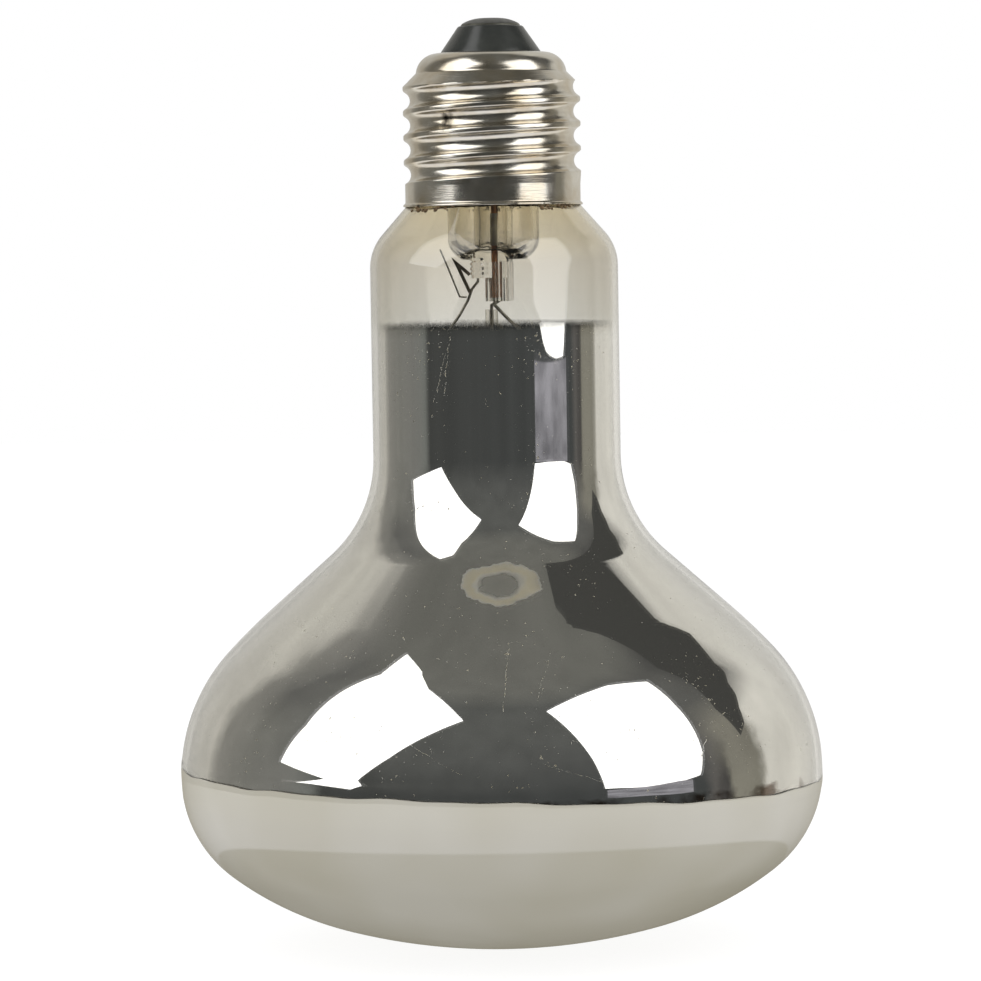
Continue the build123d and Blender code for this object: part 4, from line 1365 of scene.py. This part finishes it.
@dataclass
class Studio:
    """A white table and surround, a room that only shows in reflections, and the camera.

    The room's shades are given by azimuth, from the camera's side and growing to the right, in
    three zones that pass into one another between the rises in climbs, and then into the ceiling.
    """

    # The room, the table and the cards' distances are in metres, the other sizes in millimetres.
    room_radius: float = 3.0
    room_sides: int = 96
    # The radius of a dark disc under the lamp, a painted shadow that only reflections see.
    foot_radius: float = 63.0
    floor_shown: float = 230.0
    camera_distance: float = 700.0
    camera_height: float = 103.0
    aim_height: float = 67.36
    aside: float = -1.04
    roll: float = 0.9
    pixel_mm: float = 0.148
    image_side: int = 981
    sensor: float = 36.0
    sway: float = 0.14
    sway_mm: float = 350.0
    room_cloud_mm: float = 600.0
    # The mirror is seen through the wall's tint, twice, so the room is brighter for such rays.
    room_through: float = 1.36
    table_half: tuple[float, float] = (1.3, 1.4)
    table_back: float = 0.5
    table_drop: float = 0.0002
    table_matt: str = "#8C8C8C"
    table_glow: float = 0.85
    table_light: float = 0.74
    painted_shadow_edge: float = 0.004
    surround_light: float = 0.8
    ceiling_shade: str = "#61615D"
    climbs: tuple[tuple[float, float], ...] = ((0.0, 22.0), (25.0, 38.0), (56.0, 67.0))
    low_shades: tuple[tuple[float, str], ...] = (
        (-180, "#DAD9D6"), (-164, "#C4C2BC"), (-150, "#BCBAB4"), (-131, "#B0AEA8"),
        (-123, "#7E7D79"), (-105, "#71716D"), (-84, "#6E6E6B"), (-72, "#636562"), (-66, "#3B3C3B"),
        (76, "#3D3F3F"), (82, "#5A5856"), (88, "#403F3E"), (91, "#7A786F"), (105, "#7A786F"),
        (110, "#C8C6C0"), (150, "#D0CEC8"), (166, "#D0CEC9"), (180, "#DAD9D6"),
    )
    middle_shades: tuple[tuple[float, str], ...] = (
        (-180, "#CCCBC7"), (-150, "#BCBAB4"), (-131, "#B0AEA8"), (-123, "#7E7D79"),
        (-105, "#6C6C68"), (-84, "#6A6A67"), (-66, "#4D4E4C"), (70, "#4D4E4D"), (80, "#5C5B59"),
        (91, "#74726A"), (105, "#74726A"), (110, "#C8C6C0"), (180, "#CCCBC7"),
    )
    high_shades: tuple[tuple[float, str], ...] = (
        (-180, "#C2C0BA"), (-142, "#BDBBB4"), (-131, "#ADABA5"), (-124, "#7C7B77"),
        (-108, "#5C5C5A"), (-90, "#666663"), (-70, "#50514F"), (70, "#50514F"), (84, "#575755"),
        (100, "#535351"), (112, "#444443"), (128, "#464645"), (136, "#C8C6C0"), (180, "#C2C0BA"),
    )

    def build_room(self) -> None:
        """Makes the room that only reflections and glass show, brighter towards the back."""
        mesh = bmesh.new()
        bmesh.ops.create_uvsphere(
            mesh,
            u_segments=self.room_sides,
            v_segments=self.room_sides // 2,
            radius=self.room_radius,
        )
        bmesh.ops.reverse_faces(mesh, faces=mesh.faces[:])
        material, tree = begin_surface("studio_room_light")
        parts = add_parts(tree)
        front = add_node(tree, "Math", {"operation": "MULTIPLY"}, {0: parts.outputs["Y"], 1: -1.0})
        azimuth = add_node(tree, "Math", {"operation": "ARCTAN2"}, {0: parts.outputs["X"], 1: front})
        sway = add_noise(tree, self.sway_mm, 4.0)
        swayed = add_node(tree, "Math", {"operation": "MULTIPLY_ADD"}, {0: sway, 1: self.sway, 2: azimuth})
        centred = add_node(tree, "Math", {"operation": "SUBTRACT"}, {0: swayed, 1: self.sway / 2})
        share = add_node(
            tree, "MapRange", inputs={"Value": centred, "From Min": -math.pi, "From Max": math.pi}
        )
        zones = []
        for shades in (self.low_shades, self.middle_shades, self.high_shades):
            zone = add_node(tree, "ValToRGB", inputs={0: share})
            set_ramp(zone, [((side + 180) / 360, colour(shade)) for side, shade in shades])
            zones.append(zone)
        zones.append(colour(self.ceiling_shade))
        mixed = zones[0]
        for zone, (begin, end) in zip(zones[1:], self.climbs):
            climb = add_node(
                tree,
                "MapRange",
                inputs={
                    "Value": parts.outputs["Z"],
                    "From Min": self.room_radius * math.sin(math.radians(begin)),
                    "From Max": self.room_radius * math.sin(math.radians(end)),
                },
            )
            mix = add_node(tree, "Mix", {"data_type": "RGBA"}, {0: climb, 6: mixed, 7: zone})
            mixed = mix.outputs[2]
        drift = add_noise(tree, self.room_cloud_mm, 5.0, 2.0)
        uneven = add_node(
            tree,
            "MapRange",
            inputs={"Value": drift, "From Min": 0.3, "From Max": 0.7, "To Min": 0.9, "To Max": 1.1},
        )
        path = add_node(tree, "LightPath")
        through = add_node(
            tree,
            "MapRange",
            inputs={
                "Value": path.outputs["Is Transmission Ray"], "To Min": 1.0, "To Max": self.room_through
            },
        )
        strength = combine(tree, "MULTIPLY", through, uneven)
        glow = add_node(tree, "Emission", inputs={"Color": mixed, "Strength": strength})
        add_node(tree, "OutputMaterial", inputs={"Surface": glow})
        room = put_on_stage(mesh, "studio_room", material)
        room.data.shade_smooth()
        room.visible_camera = False
        room.visible_diffuse = False
        room.visible_shadow = False

    def build_cards(self) -> None:
        """Hangs the two softboxes, the lit stand and the dark flag."""
        Card(
            "softbox_left",
            "#FFFFFF",
            strength=1.9,
            corners=(
                (-100, 69), (-79, 72), (-50, 66), (-30, 59), (-16, 48), (-42, 22), (-55, 4),
                (-88, 11), (-86, 30), (-91, 50),
            ),
            centre=(-30.0, -33.0, 36.0),
        ).make()
        Card(
            "softbox_right",
            "#FFFFFF",
            strength=1.9,
            corners=(
                (21, 53), (45, 60), (70, 61), (91, 54), (84, 40), (79, 15), (75, 3.0), (68, 1.15),
                (60, 1.12), (53, 1.2), (49, 1.3), (52, 1.4), (46, 1.5), (48, 1.65), (43, 1.8),
                (36, 2.2), (33, 20), (28, 38),
            ),
            centre=(30.0, -33.0, 36.0),
        ).make()
        Card(
            "stand_right",
            "#949399",
            strength=1.0,
            corners=((37, -1.2), (71, -1.2), (71, -5.5), (37, -5.5)),
            centre=(10.0, -15.0, 85.0),
            distance=1.19,
            lights=False,
            drift=0.45,
        ).make()
        Card(
            "flag_right",
            "#484846",
            strength=1.0,
            corners=(
                (101, 16), (107, 19.5), (111, 25), (116, 28.5), (120, 32.5), (126, 34), (130, 37),
                (136, 39), (133, 47), (131, 52), (128, 62), (124, 72), (115, 75), (114, 66),
                (112, 58), (106, 45), (99, 30),
            ),
            centre=(30.0, -30.0, 36.0),
            distance=1.6,
            lights=False,
        ).make()

    def build_floor(self) -> None:
        """Lays the white table, which keeps a faint shadow of the lamp and shows reflections a painted
        shadow.
        """
        mesh = bmesh.new()
        bmesh.ops.create_grid(mesh, x_segments=1, y_segments=1, size=1.0)
        bmesh.ops.scale(mesh, vec=(*self.table_half, 1.0), verts=mesh.verts[:])
        bmesh.ops.translate(mesh, vec=(0.0, self.table_back, -self.table_drop), verts=mesh.verts[:])
        material, tree = begin_surface("white_table_top")
        path = add_node(tree, "LightPath")
        matt = add_node(tree, "BsdfDiffuse", inputs={"Color": colour(self.table_matt)})
        white = add_node(tree, "Emission", inputs={"Color": colour("#FFFFFF"), "Strength": self.table_glow})
        seen = add_node(tree, "AddShader", inputs={0: matt, 1: white})
        soft = add_node(tree, "Emission", inputs={"Color": colour("#FFFEFA"), "Strength": self.table_light})
        place = add_node(tree, "TexCoord")
        away = add_node(tree, "VectorMath", {"operation": "LENGTH"}, {0: place.outputs["Object"]})
        rings = add_node(
            tree, "MapRange", inputs={"Value": away.outputs["Value"], "From Max": self.floor_shown * MM}
        )
        ramp = add_node(tree, "ValToRGB", inputs={0: rings})
        # Reflections see a dark disc under the lamp, a painted shadow of the lamp, with bright table around
        # it.
        foot = self.foot_radius / self.floor_shown
        set_ramp(
            ramp,
            [
                (foot - self.painted_shadow_edge, colour("#5C5A52")),
                (foot + self.painted_shadow_edge, colour("#F2F2FA")),
                (1.0, colour("#F6F4EE")),
            ],
        )
        mirrored = add_node(tree, "Emission", inputs={"Color": ramp, "Strength": 1.0})
        clear = add_node(tree, "BsdfTransparent")
        far = add_node(
            tree,
            "Math",
            {"operation": "GREATER_THAN"},
            {0: away.outputs["Value"], 1: self.floor_shown * MM},
        )
        near = add_node(tree, "MixShader", inputs={0: far, 1: mirrored, 2: clear})
        surface = soft
        for kind, shown in (
            ("Is Glossy Ray", near), ("Is Transmission Ray", clear), ("Is Camera Ray", seen)
        ):
            surface = add_node(tree, "MixShader", inputs={0: path.outputs[kind], 1: surface, 2: shown})
        add_node(tree, "OutputMaterial", inputs={"Surface": surface})
        put_on_stage(mesh, "white_table", material)

    def build_world(self) -> None:
        """Sets a white surround for the camera and a softer one that lights the lamp."""
        world = bpy.data.worlds.new("studio_surround")
        bpy.context.scene.world = world
        world.use_nodes = True
        tree = world.node_tree
        tree.nodes.clear()
        path = add_node(tree, "LightPath")
        rays = ("Is Camera Ray", "Is Transmission Ray", "Is Glossy Ray")
        shown = combine(tree, "MAXIMUM", *[path.outputs[kind] for kind in rays])
        soft = add_node(
            tree, "Background", inputs={"Color": colour("#E8E8E8"), "Strength": self.surround_light}
        )
        white = add_node(tree, "Background", inputs={"Color": colour("#FFFFFF"), "Strength": 1.0})
        mix = add_node(tree, "MixShader", inputs={0: shown, 1: soft, 2: white})
        add_node(tree, "OutputWorld", inputs={"Surface": mix})

    def build_camera(self) -> None:
        """Stands the camera level with the glass shoulder, aimed at the lamp's middle."""
        drop = self.camera_height - self.aim_height
        pitch = math.atan2(drop, self.camera_distance)
        reach = math.hypot(drop, self.camera_distance)
        data = bpy.data.cameras.new("camera")
        data.sensor_width = self.sensor
        data.lens = reach / self.pixel_mm * self.sensor / self.image_side
        data.clip_start = 0.05
        data.clip_end = 20.0
        camera = bpy.data.objects.new("camera", data)
        bpy.context.scene.collection.objects.link(camera)
        camera.matrix_world = (
            Matrix.Translation((self.aside * MM, -self.camera_distance * MM, self.camera_height * MM))
            @ Matrix.Rotation(math.radians(90) - pitch, 4, "X")
            @ Matrix.Rotation(math.radians(-self.roll), 4, "Z")
        )
        bpy.context.scene.camera = camera

    def build(self) -> None:
        """Sets up the camera, the light and the table."""
        bpy.context.scene.view_settings.view_transform = "Standard"
        self.build_camera()
        self.build_world()
        self.build_room()
        self.build_cards()
        self.build_floor()


def dress_solids(frame: dict[str, Any], finishes: Finishes) -> None:
    """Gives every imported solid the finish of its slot.

    Args:
        finishes: The lamp's finishes.
    """
    by_slot = finishes.by_slot()
    for entry in frame["record"]["subparts"]:
        node = frame["nodes"][entry["node"]]
        material = by_slot[entry["material_slot"]]
        for slot in node.material_slots:
            slot.material = material
        LOG.info("%s wears %s", entry["node"], material.name)


def main() -> None:
    """Builds the lamp's pieces, its finishes and the studio around it."""
    logging.basicConfig(level=logging.INFO, format="%(message)s")
    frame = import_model()
    Studio().build()
    finishes = Finishes()
    dress_solids(frame, finishes)
    BlownBulb().build(finishes)
    ScrewCap().build(finishes)


if __name__ == "__main__":
    main()
